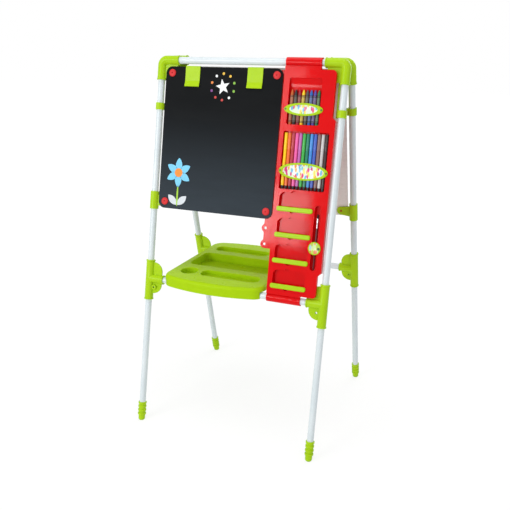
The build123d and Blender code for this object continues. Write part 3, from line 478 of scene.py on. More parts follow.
# Hardboard: pressed brown fibre, rough at the back.
HARDBOARD = PressedFibre("pressed_hardboard", "#94785f", 0.8, fleck="#7d6049")
# White-primed hardboard behind the enamelled sheet.
PRIMED = PressedFibre("primed_hardboard", "#f4f4f4", 0.7, fleck="#eaeaeb")
# Drawn steel of the hinge pins.
STEEL = DrawnSteel("drawn_steel", "#b9bbbd", 0.3, metallic=1.0)
# Tinned steel of the brush's ferrule, brighter than the pins.
TIN = DrawnSteel("tinned_steel", "#dcdee0", 0.25, metallic=1.0)
# Wax crayon in a printed paper sleeve of its own colour.
WAX = StickColours("wax_and_paper", "#b4aa98", 0.5, specular=0.3, cover_tint=0.68, speckle=0.4)
# Felt pen: glossy dyed polypropylene with a dark end plug.
PEN = StickColours("dyed_polypropylene", "#26282c", 0.25, specular=0.45)
# Lacquered beech of the brush's handle.
LACQUER = MouldedPlastic("lacquered_beech", "#6d1014", 0.3, shade="#570c10")
# Hog bristle, dark with dried paint.
BRISTLE = StickColours("hog_bristle", "#2c2a2b", 0.6, specular=0.2)
# Label film over print, for the two bands and, on a greener ground, for the badge.
LABEL = DabPrint(
    "printed_label",
    "#dcefd2",
    0.3,
    inks=("#e2607a", "#f2d95c", "#6fb6de", "#d63a86", "#f4f8ef", "#f0963c", "#9ccf58"),
)
BADGE = DabPrint(
    "printed_badge", "#cfe3a4", 0.3, dab=5 * MM, inks=("#e9a83a", "#b7d24a", "#d9794e", "#a9cfe0")
)
# Screen-printed ink, a little uneven where the screen pressed it.
INK = StickColours("screen_ink", "#ffffff", 0.45, specular=0.3)


# Frame helpers


@dataclass
class LeaningPlane:
    """Plane of one frame's tubes; its own places are (across, out, down) from the top tube's middle."""

    nodes: dict[str, Object]
    matrix: Matrix

    @classmethod
    def of(cls, side: Side, nodes: dict[str, Object]) -> LeaningPlane:
        """Find the plane of a side from the middles of its top tube and crossbar.

        Args:
            side: Side of the easel.
            nodes: The frame's nodes by name.

        Returns:
            The plane.
        """
        top, bar = (sum(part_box(f"{side.label}_{rail}"), Vector()) / 2 for rail in ("top_tube", "crossbar"))
        down = (bar - top).normalized()
        across = Vector((side.value[1], 0.0, 0.0))
        axes = Matrix((across, down.cross(across), down)).transposed()
        return cls(nodes, Matrix.Translation(top) @ axes.to_4x4())

    def extent(self, node: str) -> tuple[Vector, Vector]:
        """Give a node's lowest and highest corners in this plane."""
        return corners(self.places(node))

    def places(self, node: str) -> list[Vector]:
        """Give a node's vertices in this plane."""
        inverse = self.matrix.inverted()
        return [inverse @ vertex.co for vertex in self.nodes[node].data.vertices]

    def solids(self, node: str) -> list[tuple[Vector, Vector]]:
        """Give the corners of each separate solid of a node.

        Args:
            node: Name of the node.

        Returns:
            Lowest and highest corners, from left to right and then down.
        """
        shape = bmesh.new()
        shape.from_mesh(self.nodes[node].data)
        shape.transform(self.matrix.inverted())
        bmesh.ops.remove_doubles(shape, verts=shape.verts, dist=WELD)
        found, seen = [], set()
        for first in shape.verts:
            if first in seen:
                continue
            island, fresh = [], [first]
            seen.add(first)
            while fresh:
                vertex = fresh.pop()
                island.append(vertex.co.copy())
                near = {edge.other_vert(vertex) for edge in vertex.link_edges} - seen
                seen |= near
                fresh.extend(near)
            found.append(corners(island))
        shape.free()
        return sorted(found, key=lambda box: (round(box[0].x, 4), box[0].z))


def corners(places: Sequence[Vector]) -> tuple[Vector, Vector]:
    """Find the box of some places.

    Args:
        places: The places.

    Returns:
        The box's lowest and highest corners.
    """
    axes = range(3)
    low = Vector([min(place[axis] for place in places) for axis in axes])
    return low, Vector([max(place[axis] for place in places) for axis in axes])


def present(name: str, mesh: Mesh, body: str, slot: Slot, *replaced: str) -> None:
    """Show a finished mesh as a piece of the object.

    Args:
        name: Name of the piece.
        mesh: Its mesh, in place.
        body: Body that it rides on.
        slot: Record slot of its finish; not used.
        replaced: Nodes that it stands for.
    """
    piece = held(name, mesh)
    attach(piece, body)
    if replaced:
        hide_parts(*replaced)
    LOG.info("%s: %d faces on %s", name, len(mesh.polygons), body)


def evaluated(holder: Object) -> Mesh:
    """Turn an object with modifiers into a plain mesh, and remove the object.

    Args:
        holder: The object.

    Returns:
        The mesh that its modifiers made.
    """
    graph = bpy.context.evaluated_depsgraph_get()
    mesh = bpy.data.meshes.new_from_object(holder.evaluated_get(graph), depsgraph=graph)
    holder.modifiers.clear()
    bpy.data.objects.remove(holder)
    return mesh


def held(name: str, mesh: Mesh) -> Object:
    """Put a mesh in an object of the scene.

    Args:
        name: Name of the object.
        mesh: The mesh.

    Returns:
        The object.
    """
    holder = bpy.data.objects.new(name, mesh)
    bpy.context.scene.collection.objects.link(holder)
    return holder


def softened(node: Object, width: float, finish: Finish, sharp: float = 35.0) -> Mesh:
    """Copy a node's mesh with its edges rounded, as a mould or a saw leaves them.

    Args:
        node: Node to copy.
        width: Width of the rounding, in metres.
        finish: Finish of the copy.
        sharp: Least angle of an edge that is rounded, in degrees.

    Returns:
        The rounded mesh, in place.
    """
    mesh = bpy.data.meshes.new(f"{node.name}_soft")
    shape = bmesh.new()
    shape.from_mesh(node.data)
    bmesh.ops.remove_doubles(shape, verts=shape.verts, dist=WELD)
    bmesh.ops.dissolve_limit(shape, angle_limit=FLAT_ANGLE, verts=shape.verts, edges=shape.edges)
    shape.to_mesh(mesh)
    shape.free()
    mesh.materials.clear()
    mesh.materials.append(finish.material())
    mesh.shade_smooth()
    holder = held(mesh.name, mesh)
    bevel = holder.modifiers.new("rounding", "BEVEL")
    bevel.width = width
    bevel.segments = ROUNDING_STEPS
    bevel.limit_method = "ANGLE"
    bevel.angle_limit = math.radians(sharp)
    bevel.use_clamp_overlap = True
    bevel.miter_outer = "MITER_ARC"
    flats = holder.modifiers.new("flats", "WEIGHTED_NORMAL")
    flats.weight = FLAT_WEIGHT
    return evaluated(holder)


def loft(name: str, rings: Sequence[Sequence[Place]], covers: Sequence[float], smooth: bool) -> Mesh:
    """Skin a row of rings into a closed mesh, with a flat face at each end.

    Args:
        name: Name of the mesh.
        rings: Places round each ring; a ring of one place is a point.
        covers: Cover of the stretch that each ring starts.
        smooth: Whether the skin is shaded smooth.

    Returns:
        A mesh with a face attribute named cover; its last face is the last ring's.
    """
    shape = bmesh.new()
    layer = shape.faces.layers.float.new("cover")
    loops = [[shape.verts.new(place) for place in ring] for ring in rings]
    around = max(len(loop) for loop in loops)
    for cover, upper, lower in zip(covers, loops, loops[1:]):
        for step in range(around):
            after = (step + 1) % around
            ends = [upper[step % len(upper)], lower[step % len(lower)]]
            ends += [lower[after % len(lower)], upper[after % len(upper)]]
            face = shape.faces.new(list(dict.fromkeys(ends)))
            face[layer] = cover
            face.smooth = smooth
    for end in (0, -1):
        if len(loops[end]) > 1:
            shape.faces.new(loops[end])[layer] = covers[end]
    bmesh.ops.recalc_face_normals(shape, faces=shape.faces)
    mesh = bpy.data.meshes.new(name)
    shape.to_mesh(mesh)
    shape.free()
    return mesh


def prism(outline: Outline, thick: float) -> Mesh:
    """Make a thin flat piece from an (across, down) outline, with its back at out = 0."""
    rings = [[(x, out, z) for x, z in outline] for out in (0.0, thick)]
    return loft("flat_piece", rings, (BARE, BARE), False)


def oval(wide: float, tall: float, steps: int = 36) -> Outline:
    """Outline of an oval about the origin."""
    turns = [2 * math.pi * step / steps for step in range(steps)]
    return [(wide / 2 * math.cos(turn), tall / 2 * math.sin(turn)) for turn in turns]


def star(rays: int, outer: float, inner: float) -> Outline:
    """Outline of a star about the origin, with one ray upwards.

    Args:
        rays: Number of rays.
        outer: Distance of the tips.
        inner: Distance of the notches.

    Returns:
        (across, down) places.
    """
    radii = [outer, inner] * rays
    turns = [math.pi * step / rays for step in range(2 * rays)]
    return [(radius * math.sin(turn), -radius * math.cos(turn)) for radius, turn in zip(radii, turns)]


def leaf(wide: float, tall: float, steps: int = 16, power: float = 0.8) -> Outline:
    """Outline of a pointed leaf that stands on the origin.

    Args:
        wide: Greatest width.
        tall: Height.
        steps: Steps along one side.
        power: Power of the side's sine; less makes a fuller leaf.

    Returns:
        (across, down) places.
    """
    shares = [step / steps for step in range(steps + 1)]
    side = [(wide / 2 * math.sin(math.pi * share) ** power, -tall * share) for share in shares]
    return side + [(-x, z) for x, z in reversed(side[1:-1])]


def lathe(outline: Turning, around: int) -> Mesh:
    """Turn an outline about the plane's down axis.

    Args:
        outline: Outline from the upper end to the lower one.
        around: Number of steps round the axis.

    Returns:
        A closed mesh with a face attribute named cover.
    """
    turns = [2 * math.pi * step / around for step in range(around)]
    rings = []
    for radius, down, _ in outline:
        steps = turns if radius > 0 else turns[:1]
        rings.append([(radius * math.cos(turn), radius * math.sin(turn), down) for turn in steps])
    mesh = loft("turned", rings, [cover for _, _, cover in outline], True)
    mesh.set_sharp_from_angle(angle=TURNED_CREASE)
    return mesh


def covered(outline: Outline, cover: float = BARE) -> Turning:
    """Give a (radius, down) outline one cover."""
    return [(radius, down, cover) for radius, down in outline]


@dataclass(frozen=True)
class Spot:
    """Place of one repeat, in its plane: with a tint, a size and a turn about the out axis in degrees."""

    place: Place
    tint: str = "#ffffff"
    size: float = 1.0
    turn: float = 0.0


@dataclass
class Maker:
    """Geometry Nodes tree that works on a mesh in a frame's plane and gives the result a finish."""

    tree: NodeTree = field(init=False)

    def start(self, name: str, **kinds: str) -> bpy.types.bpy_prop_collection:
        """Start the tree with its named inputs, the last of them a finish.

        Args:
            name: Name of the tree.
            kinds: Socket type of each other input, by the input's name.

        Returns:
            The inputs' sockets inside the tree.
        """
        self.tree = bpy.data.node_groups.new(name, "GeometryNodeTree")
        face = self.tree.interface
        for label, kind in (*kinds.items(), ("Finish", "NodeSocketMaterial")):
            face.new_socket(name=label, in_out="INPUT", socket_type=kind)
        face.new_socket(name="Pieces", in_out="OUTPUT", socket_type="NodeSocketGeometry")
        return add_node(self.tree, "NodeGroupInput").outputs

    def end(self, geometry: NodeSocket, finish: NodeSocket) -> None:
        """End the tree with real faces in the finish.

        Args:
            geometry: Socket with the shape.
            finish: Socket with the material.
        """
        real = add_node(self.tree, "GeometryNodeRealizeInstances", {"Geometry": geometry})
        dressed = {"Geometry": real.outputs["Geometry"], "Material": finish}
        done = add_node(self.tree, "GeometryNodeSetMaterial", dressed)
        add_node(self.tree, "NodeGroupOutput", {"Pieces": done.outputs["Geometry"]})

    def run(self, mesh: Mesh, plane: LeaningPlane, **inputs) -> Mesh:
        """Work on a mesh and give the plain result, in place.

        Args:
            mesh: Mesh that the tree starts from, in the plane.
            plane: Plane that it lies in.
            inputs: The tree's other inputs by name.

        Returns:
            The finished mesh.
        """
        holder = held(mesh.name, mesh)
        modifier = holder.modifiers.new(mesh.name, "NODES")
        modifier.node_group = self.tree
        for socket in self.tree.interface.items_tree:
            if socket.name in inputs:
                modifier[socket.identifier] = inputs[socket.name]
        made = evaluated(holder)
        made.transform(plane.matrix)
        return made


@dataclass
class Repeats(Maker):
    """Tree that sets a pattern on every spot of a mesh."""

    def __post_init__(self) -> None:
        """Build the tree."""
        given = self.start("pattern_on_spots", Spots="NodeSocketGeometry", Pattern="NodeSocketObject")
        pattern = add_node(self.tree, "GeometryNodeObjectInfo", {"Object": given["Pattern"]})
        read = {
            name: add_node(self.tree, "GeometryNodeInputNamedAttribute", {"Name": name}).outputs["Attribute"]
            for name in ("size", "turn")
        }
        turned = add_node(self.tree, "ShaderNodeCombineXYZ", {"Y": read["turn"]}).outputs["Vector"]
        placed = {
            "Points": given["Spots"],
            "Instance": pattern.outputs["Geometry"],
            "Rotation": turned,
            "Scale": read["size"],
        }
        copies = add_node(self.tree, "GeometryNodeInstanceOnPoints", placed)
        self.end(copies.outputs["Instances"], given["Finish"])

    def make(self, spots: Sequence[Spot], pattern: Mesh, finish: Finish, plane: LeaningPlane) -> Mesh:
        """Set a pattern on spots and give the plain mesh, in place.

        Args:
            spots: Where the repeats go, in the plane.
            pattern: Mesh of one repeat about its own origin.
            finish: Finish of the repeats.
            plane: Plane that the spots lie in.

        Returns:
            One mesh of all the repeats.
        """
        mesh = bpy.data.meshes.new("spots")
        mesh.from_pydata([spot.place for spot in spots], [], [])
        columns = {
            "tint": ("FLOAT_COLOR", "color", [linear(spot.tint) for spot in spots]),
            "size": ("FLOAT", "value", [spot.size for spot in spots]),
            "turn": ("FLOAT", "value", [math.radians(spot.turn) for spot in spots]),
        }
        for name, (kind, key, values) in columns.items():
            column = mesh.attributes.new(name, kind, "POINT")
            for item, value in zip(column.data, values):
                setattr(item, key, value)
        shown = held("pattern", pattern)
        made = self.run(mesh, plane, Pattern=shown, Finish=finish.material())
        bpy.data.objects.remove(shown)
        return made


@dataclass
class Bead(Maker):
    """Tree that lays a round bead along a closed path."""

    def __post_init__(self) -> None:
        """Build the tree."""
        given = self.start("bead_along_path", Path="NodeSocketGeometry", Radius="NodeSocketFloat")
        path = add_node(self.tree, "GeometryNodeMeshToCurve", {"Mesh": given["Path"]})
        round_wire = {"Resolution": 12, "Radius": given["Radius"]}
        section = add_node(self.tree, "GeometryNodeCurvePrimitiveCircle", round_wire)
        swept = {"Curve": path.outputs["Curve"], "Profile Curve": section.outputs["Curve"]}
        bead = add_node(self.tree, "GeometryNodeCurveToMesh", swept)
        self.end(bead.outputs["Mesh"], given["Finish"])

    def make(self, path: Sequence[Place], radius: float, finish: Finish, plane: LeaningPlane) -> Mesh:
        """Lay a bead along a closed path and give the plain mesh, in place.

        Args:
            path: Places along the path, in the plane.
            radius: Radius of the bead.
            finish: Finish of the bead.
            plane: Plane that the path lies in.

        Returns:
            The bead.
        """
        mesh = bpy.data.meshes.new("path")
        mesh.from_pydata(path, [(step, (step + 1) % len(path)) for step in range(len(path))], [])
        made = self.run(mesh, plane, Radius=radius, Finish=finish.material())
        made.shade_smooth()
        return made


# Sub-assemblies


@dataclass
class TubeFrame:
    """One leaning frame: its tubes, and the mouldings that join and foot them."""

    side: Side
    nodes: dict[str, Object]
    rounding: float = 0.9 * MM
    tubes: tuple[str, ...] = ("top_tube", "crossbar")
    paired_tubes: tuple[str, ...] = ("upper_leg", "lower_leg")
    paired_mouldings: tuple[str, ...] = ("elbow", "tee", "hinge_leaf", "board_clip")

    def build(self) -> None:
        """Dress the tubes and feet, and round the edges of the mouldings."""
        label = self.side.label
        paired = [f"{hand}_{tube}" for hand in HANDS for tube in self.paired_tubes]
        for tube in (*self.tubes, *paired):
            coat(self.nodes[f"{label}_{tube}"], TUBE_COAT)
        for hand in HANDS:
            coat(self.nodes[f"{label}_{hand}_foot"], LIME)
            for moulding in self.paired_mouldings:
                node = f"{label}_{hand}_{moulding}"
                if node in self.nodes:
                    mesh = softened(self.nodes[node], self.rounding, LIME)
                    present(f"{node}_moulding", mesh, self.side.body, Slot.GREEN, node)


def coat(node: Object, finish: Finish) -> None:
    """Give a node that keeps its own shape its finish."""
    node.data.materials.clear()
    node.data.materials.append(finish.material())


def rivet(low: Vector, high: Vector, seat: float) -> Mesh:
    """Turn a flat-domed rivet with a deep dimple, and a shank that is hollow at its end.

    Args:
        low: Lowest corner of the rivet's solid.
        high: Its highest corner.
        seat: Distance out at which the head sits on the board.

    Returns:
        The rivet about its own axis, facing out, with its head's seat at the origin.
    """
    radius, height, back = (high.x - low.x) / 2, high.y - seat, low.y - seat
    dimple, shank, hollow = 0.18 * radius, 0.3 * radius, 0.21 * radius
    sunk, brim, blind = 0.25 * height, 0.95 * height, 0.4 * back
    outline = [(0.0, sunk), (dimple, sunk), (dimple, brim), (1.3 * dimple, height)]
    edge, fall = 0.35, 0.98  # height of the dome's edge and how near the dome comes to it, as shares
    for share in (0.4, 0.55, 0.7, 0.82, 0.91, 0.97, 1.0):
        outline.append((share * radius, height * (edge + (1 - edge) * math.sqrt(1 - share**2 * fall))))
    outline += [(radius, 0.0), (shank, 0.0), (shank, back), (hollow, back), (hollow, blind), (0.0, blind)]
    mesh = lathe(covered([(reach, -out) for reach, out in outline]), around=40)
    mesh.transform(Matrix.Rotation(math.radians(90), 4, "X"))
    return mesh


@dataclass
class Board:
    """Board on one frame, with its rivets and its coloured prints."""

    plane: LeaningPlane
    repeats: Repeats
    side: Side
    face: str  # node that is printed
    slot: Slot  # of that node
    ring_reach: float  # radius of the ring of dots, in millimetres
    dot: float  # width of a dot
    print_thick: float = 0.12 * MM

    def rivets(self, node: str, seat: str) -> None:
        """Make a row of rivets where their solids are.

        Args:
            node: Node of the rivets.
            seat: Node that their heads sit on.
        """
        out = self.plane.extent(seat)[1].y
        solids = self.plane.solids(node)
        spots = [Spot(((low.x + high.x) / 2, out, (low.z + high.z) / 2)) for low, high in solids]
        mesh = self.repeats.make(spots, rivet(*solids[0], out), RIVET, self.plane)
        present(f"{node.removesuffix('s')}_row", mesh, self.side.body, Slot.RED, node)

    def motif(self, name: str, outline: Outline, marks: Sequence[Mark]) -> None:
        """Print one kind of motif as a piece of its own.

        Args:
            name: Name of the motif.
            outline: Its (across, down) outline at size 1, in metres.
            marks: Across and down on the board in millimetres, tint, size and turn in degrees.
        """
        out = self.plane.extent(self.face)[1].y
        spots = [Spot((x * MM, out, z * MM), tint, size, turn) for x, z, tint, size, turn in marks]
        mesh = self.repeats.make(spots, prism(outline, self.print_thick), INK, self.plane)
        present(f"{self.face}_{name}", mesh, self.side.body, self.slot)

    def ring(self, middle: tuple[float, float], tints: Sequence[str]) -> list[Mark]:
        """Give the marks of a ring of equal dots.

        Args:
            middle: Across and down of the ring's middle, in millimetres.
            tints: Colour of each dot, from the top round to the right.

        Returns:
            One mark for each dot.
        """
        marks = []
        for step, tint in enumerate(tints):
            turn = 2 * math.pi * step / len(tints)
            across, down = self.ring_reach * math.sin(turn), self.ring_reach * math.cos(turn)
            marks.append((middle[0] + across, middle[1] - down, tint, 1.0, 0.0))
        return marks


@dataclass
class Blackboard(Board):
    """Blackboard with its rivets, prints and paper clips."""

    side: Side = Side.FRONT
    face: str = "blackboard"
    slot: Slot = Slot.BLACKBOARD
    ring_reach: float = 34.0
    dot: float = 7 * MM
    rounding: float = 0.5 * MM
    clip_crease: float = 8.0  # degrees, low enough to give the paper clips' shallow crease a crisp edge
    emblem: tuple[float, float] = (-70.0, 67.0)  # middle of the ring between the paper clips
    flower: tuple[float, float] = (-186.0, 300.0)  # middle of the flower near the lower left corner
    flower_eye: float = 3.4  # size of its eye, in dots
    stem_drop: float = 62.0  # of the stem's middle below the flower's
    leaf_drop: float = 88.0  # of the foot of its leaves
    ring_tints: tuple[str, ...] = (
        *("#e8b83a", "#e8b83a", "#7fb23c", "#7fb23c", "#e9ecec"),
        *("#c2352f", "#c2352f", "#7c3f86", "#e8873a", "#e9ecec"),
    )

    def build(self) -> None:
        """Make the board, its rivets, its prints and its paper clips."""
        nodes = self.plane.nodes
        out = self.plane.matrix.to_3x3() @ Vector((0.0, 1.0, 0.0))
        board = softened(nodes["blackboard"], self.rounding, CHALKBOARD)
        board.materials.append(HARDBOARD.material())
        for face in board.polygons:
            face.material_index = 0 if face.normal.dot(out) > FACING else 1
        present("blackboard_panel", board, self.side.body, self.slot, "blackboard")
        self.rivets("blackboard_rivets", "blackboard")
        for hand in HANDS:
            node = f"paper_clip_{hand}"
            spring = softened(nodes[node], self.rounding, LIME, self.clip_crease)
            present(f"{node}_spring", spring, node, Slot.GREEN, node)
        self.prints()

    def prints(self) -> None:
        """Print a ring of dots about a star, and a flower."""
        x, z = self.emblem
        x_flower, z_flower = self.flower
        dots = self.ring(self.emblem, self.ring_tints)
        dots.append((x_flower, z_flower, "#f08a24", self.flower_eye, 0.0))
        self.motif("dots", oval(self.dot, self.dot), dots)
        stars = [(x, z, "#eef0f0", 1.0, 12.0), (x_flower, z_flower, "#f5dc3c", 0.42, 0.0)]
        self.motif("stars", star(5, 21 * MM, 9 * MM), stars)
        petals = [(x_flower, z_flower, "#74c8ea", 1.0, step * 60.0) for step in range(6)]
        leaves = [(x_flower, z_flower + self.leaf_drop, "#cfd5da", 0.95, turn) for turn in (-48.0, 48.0)]
        self.motif("petals", leaf(20 * MM, 40 * MM), petals + leaves)
        stem = [(x_flower, z_flower + self.stem_drop, "#9ccb2e", 1.0, 0.0)]
        self.motif("stem", oval(5 * MM, 60 * MM), stem)


@dataclass
class Whiteboard(Board):
    """Enamelled sheet on its backing, with prints, and rivets on clear washers."""

    side: Side = Side.REAR
    face: str = "whiteboard_sheet"
    slot: Slot = Slot.WHITEBOARD
    ring_reach: float = 35.0
    dot: float = 9 * MM
    rounding: float = 0.25 * MM
    emblem: tuple[float, float] = (-23.0, 80.0)  # middle of the ring below the upper edge
    row_down: float = 395.0  # middles of the row above the lower edge
    row_start: float = -150.0
    row_pitch: float = 29.0
    ball: float = 3.1  # size of a ball, in dots
    ball_rise: float = 8.0  # of the balls' middles above the stars'
    spark: float = 0.7  # size of a small dot over the row, in dots
    spark_place: tuple[float, float] = (14.0, -34.0)  # of a small dot from a star or ball
    ring_tints: tuple[str, ...] = ("#9fc0de", "#b9d0e4") * 9
    row_tints: tuple[str, ...] = (
        *("#f0a23a", "#7cc4e8", "#e2523c", "#7cc4e8", "#f0c436"),
        *("#e0368c", "#f08ac0", "#f0803a", "#8fdcc8", "#d8dc2c"),
    )

    def build(self) -> None:
        """Make the sheet, its backing, washers, rivets and prints."""
        nodes = self.plane.nodes
        for node, finish, slot in (
            ("whiteboard_sheet", ENAMEL, self.slot),
            ("whiteboard_backing", PRIMED, Slot.HARDBOARD),
        ):
            panel = softened(nodes[node], self.rounding, finish)
            present(f"{node}_panel", panel, self.side.body, slot, node)
        coat(nodes["whiteboard_washers"], CLEAR)
        self.rivets("whiteboard_rivets", "whiteboard_washers")
        self.prints()

    def prints(self) -> None:
        """Print a ring of dots about a sun, and a row of stars and balls along the lower edge."""
        places = [(self.row_start + self.row_pitch * step, tint) for step, tint in enumerate(self.row_tints)]
        balls = [(x, self.row_down - self.ball_rise, tint, self.ball, 0.0) for x, tint in places[1::2]]
        stars = [
            (x, self.row_down, tint, 1.0 - 0.2 * (step % 2), 18.0 * step)
            for step, (x, tint) in enumerate(places[::2])
        ]
        dots = self.ring(self.emblem, self.ring_tints)
        aside, down = self.spark_place
        dots += [(x + aside, self.row_down + down, tint, self.spark, 0.0) for x, tint in places[1:7]]
        self.motif("dots", oval(self.dot, self.dot), balls + dots)
        self.motif("stars", star(5, 23 * MM, 10 * MM), stars)
        x, z = self.emblem
        suns = [(x, z, "#f2c94c", 1.0, 0.0), (x + 9, z + 12, "#e0623a", 0.4, 20.0)]
        self.motif("suns", star(12, 20 * MM, 13 * MM), suns)


@dataclass
class Caddy:
    """Red caddy with its lips, bands, badge, crayons, felt pens and brush."""

    plane: LeaningPlane
    repeats: Repeats
    bead: Bead
    rounding: float = 1.4 * MM
    crayon_tints: tuple[str, ...] = (
        *("#c8632c", "#2a2a2c", "#a32a38", "#f2cf2a"),
        *("#54504e", "#2668b8", "#5a4aa0", "#2c7a4c"),
    )
    pen_tints: tuple[str, ...] = (
        *("#f7cc10", "#f07030", "#b83c48", "#ee62a8", "#c066b2", "#40ae4a"),
        *("#1f8060", "#4890d8", "#4462c0", "#8a6a66", "#c8c4c4", "#3a2a2a"),
    )
    channel: tuple[float, float] = (16 * MM, 167 * MM)  # brush channel, across and down
    brush_drop: float = 22 * MM  # of the brush below the channel's top
    ferrule: tuple[float, float] = (11 * MM, 35 * MM)  # start and end, from the bristles' tips
    bristles: int = 110
    bristle_tint: str = "#3a3230"
    band_rims: tuple[tuple[str, float, float], ...] = (
        ("crayon_band", 14 * MM, 4.5 * MM),
        ("pen_band", 10 * MM, 4.5 * MM),
    )
    badge_rim: float = 2.2 * MM
    rim_radius: float = 1.1 * MM  # of the bead round the channel
    rim_gap: float = 0.4 * MM  # from the channel's edge to the bead's axis

    def build(self) -> None:
        """Make the caddy and everything on it."""
        nodes = self.plane.nodes
        body = Side.FRONT.body
        present("caddy_shell", softened(nodes["caddy"], self.rounding, RED), body, Slot.RED, "caddy")
        for node in [name for name in nodes if name.startswith("pocket_lip")]:
            coat(nodes[node], LIME)
        self.sticks("crayons", "crayon_row", self.crayon_tints, self.crayon_outline, WAX, Slot.WAX)
        self.sticks("felt_pens", "felt_pen_row", self.pen_tints, self.pen_outline, PEN, Slot.PEN)
        for node in ("band_pins", "keeper_pin"):
            coat(nodes[node], DARK)
        for node, *rim in self.band_rims:
            present(f"{node}_plate", self.label_plate(node, rim, LABEL), body, Slot.GREEN, node)
        badge = self.label_plate("keeper_badge", (self.badge_rim, self.badge_rim), BADGE)
        present("keeper_badge_plate", badge, "keeper_badge", Slot.GREEN, "keeper_badge")
        self.paint_brush()
        self.channel_rim()

    def sticks(
        self, node: str, name: str, tints: Sequence[str], outline: Turner, finish: Finish, slot: Slot
    ) -> None:
        """Make a row of sticks where their solids are.

        Args:
            node: Node of the row.
            name: Name of the piece.
            tints: Colour of each stick, from left to right.
            outline: Gives a stick's outline from its radius and length.
            finish: Finish of the row.
            slot: Its record slot.
        """
        solids = self.plane.solids(node)
        low, high = solids[0]
        pattern = lathe(outline((high.y - low.y) / 2, high.z - low.z), around=24)
        spots = []
        for (low, high), tint in zip(solids, tints):
            spots.append(Spot(((low.x + high.x) / 2, (low.y + high.y) / 2, low.z), tint))
        present(name, self.repeats.make(spots, pattern, finish, self.plane), Side.FRONT.body, slot, node)

    def crayon_outline(self, radius: float, length: float) -> Turning:
        """Outline of a crayon: wax point and shoulder, printed sleeve with dark rings, flat foot.

        Args:
            radius: Radius of the sleeve.
            length: Length of the crayon.

        Returns:
            The outline from the point down.
        """
        wax, start, end, ring, fold = 0.93 * radius, 14 * MM, length - 5 * MM, 1.6 * MM, 0.1 * MM
        tip = [(0.0, 0.0), (0.25 * radius, 0.2 * MM), (0.34 * radius, 0.8 * MM)]
        tip += [(0.86 * wax, 7.2 * MM), (wax, 8.4 * MM)]
        edges = [start + ring * step for step in (1, 2, 3)] + [end - ring * step for step in (3, 2, 1)]
        sleeve = [(wax, start, RING), (radius, start + fold, RING)]
        sleeve += [(radius, edge, cover) for edge, cover in zip(edges, (SLEEVE, RING) * 3)]
        foot = [(radius, end), (wax, end + fold), (wax, length - 0.4 * MM), (0.85 * wax, length)]
        return covered(tip) + sleeve + covered(foot)

    def pen_outline(self, radius: float, length: float) -> Turning:
        """Outline of a felt pen: cap with a rounded top, seam, barrel, and a dark plug at its tapered end.

        Args:
            radius: Radius of the cap.
            length: Length of the pen.

        Returns:
            The outline from the cap down.
        """
        cap, taper, plug = 42 * MM, length - 14 * MM, length - 8 * MM
        slim, seam = 0.95 * radius, 0.92 * radius
        barrel = [(0.6 * radius, 0.0), (0.92 * radius, 0.3 * MM), (radius, 1.4 * MM), (radius, cap)]
        barrel += [(seam, cap + 0.2 * MM), (seam, cap + 0.8 * MM), (slim, cap + 1.0 * MM)]
        barrel += [(slim, taper), (0.86 * radius, plug - 0.1 * MM)]
        end = [(0.8 * radius, plug), (0.7 * radius, length - 1.0 * MM), (0.6 * radius, length)]
        return covered(barrel) + covered(end, SLEEVE)

    def paint_brush(self) -> None:
        """Make the paint brush: lacquered handle, crimped ferrule and a tuft of bristles."""
        low, high = self.plane.extent("paint_brush")
        middle = ((low.x + high.x) / 2, (low.y + high.y) / 2, low.z)
        radius, length = (high.x - low.x) / 2, high.z - low.z
        start, end = self.ferrule
        body = Side.FRONT.body
        handle = [(0.0, end), (0.8 * radius, end), (0.98 * radius, end + 12 * MM)]
        handle += [(0.9 * radius, end + 30 * MM), (0.62 * radius, length - 6 * MM)]
        handle += [(0.5 * radius, length - 1 * MM), (0.0, length)]
        present("paint_brush_handle", self.turned(handle, middle, LACQUER), body, Slot.WOOD, "paint_brush")
        wide, crimped, mouth = 0.97 * radius, 0.86 * radius, end + 0.3 * MM
        tube = [(0.0, start), (0.82 * radius, start), (wide, start + 8 * MM)]
        for down in (end - 9 * MM, end - 6 * MM):
            tube += [(wide, down), (crimped, down + 0.6 * MM), (wide, down + 1.2 * MM)]
        tube += [(wide, mouth), (0.0, mouth)]
        present("paint_brush_ferrule", self.turned(tube, middle, TIN), body, Slot.STEEL)
        bristle = [(0.0, 0.0), (0.12 * MM, 1.0 * MM), (0.2 * MM, start), (0.0, start + 1 * MM)]
        hair = lathe(covered(bristle), around=6)
        spots = []
        for step in range(self.bristles):
            reach = 0.72 * radius * math.sqrt((step + 0.5) / self.bristles)
            turn = step * GOLDEN_TURN
            size = 1.0 - 0.35 * (reach / radius) ** 2
            place = (reach * math.cos(turn), reach * math.sin(turn), start * (1.0 - size))
            spots.append(Spot(tuple(Vector(middle) + Vector(place)), self.bristle_tint, size))
        tuft = self.repeats.make(spots, hair, BRISTLE, self.plane)
        present("paint_brush_tuft", tuft, body, Slot.WOOD)

    def turned(self, outline: Outline, place: Place, finish: Finish) -> Mesh:
        """Turn an outline and set it in the plane.

        Args:
            outline: (radius, down) from the upper end.
            place: Place of that end's middle, in the plane.
            finish: Finish of the piece.

        Returns:
            The turned mesh, in place.
        """
        mesh = lathe(covered(outline), around=32)
        mesh.materials.append(finish.material())
        mesh.transform(self.plane.matrix @ Matrix.Translation(place))
        return mesh

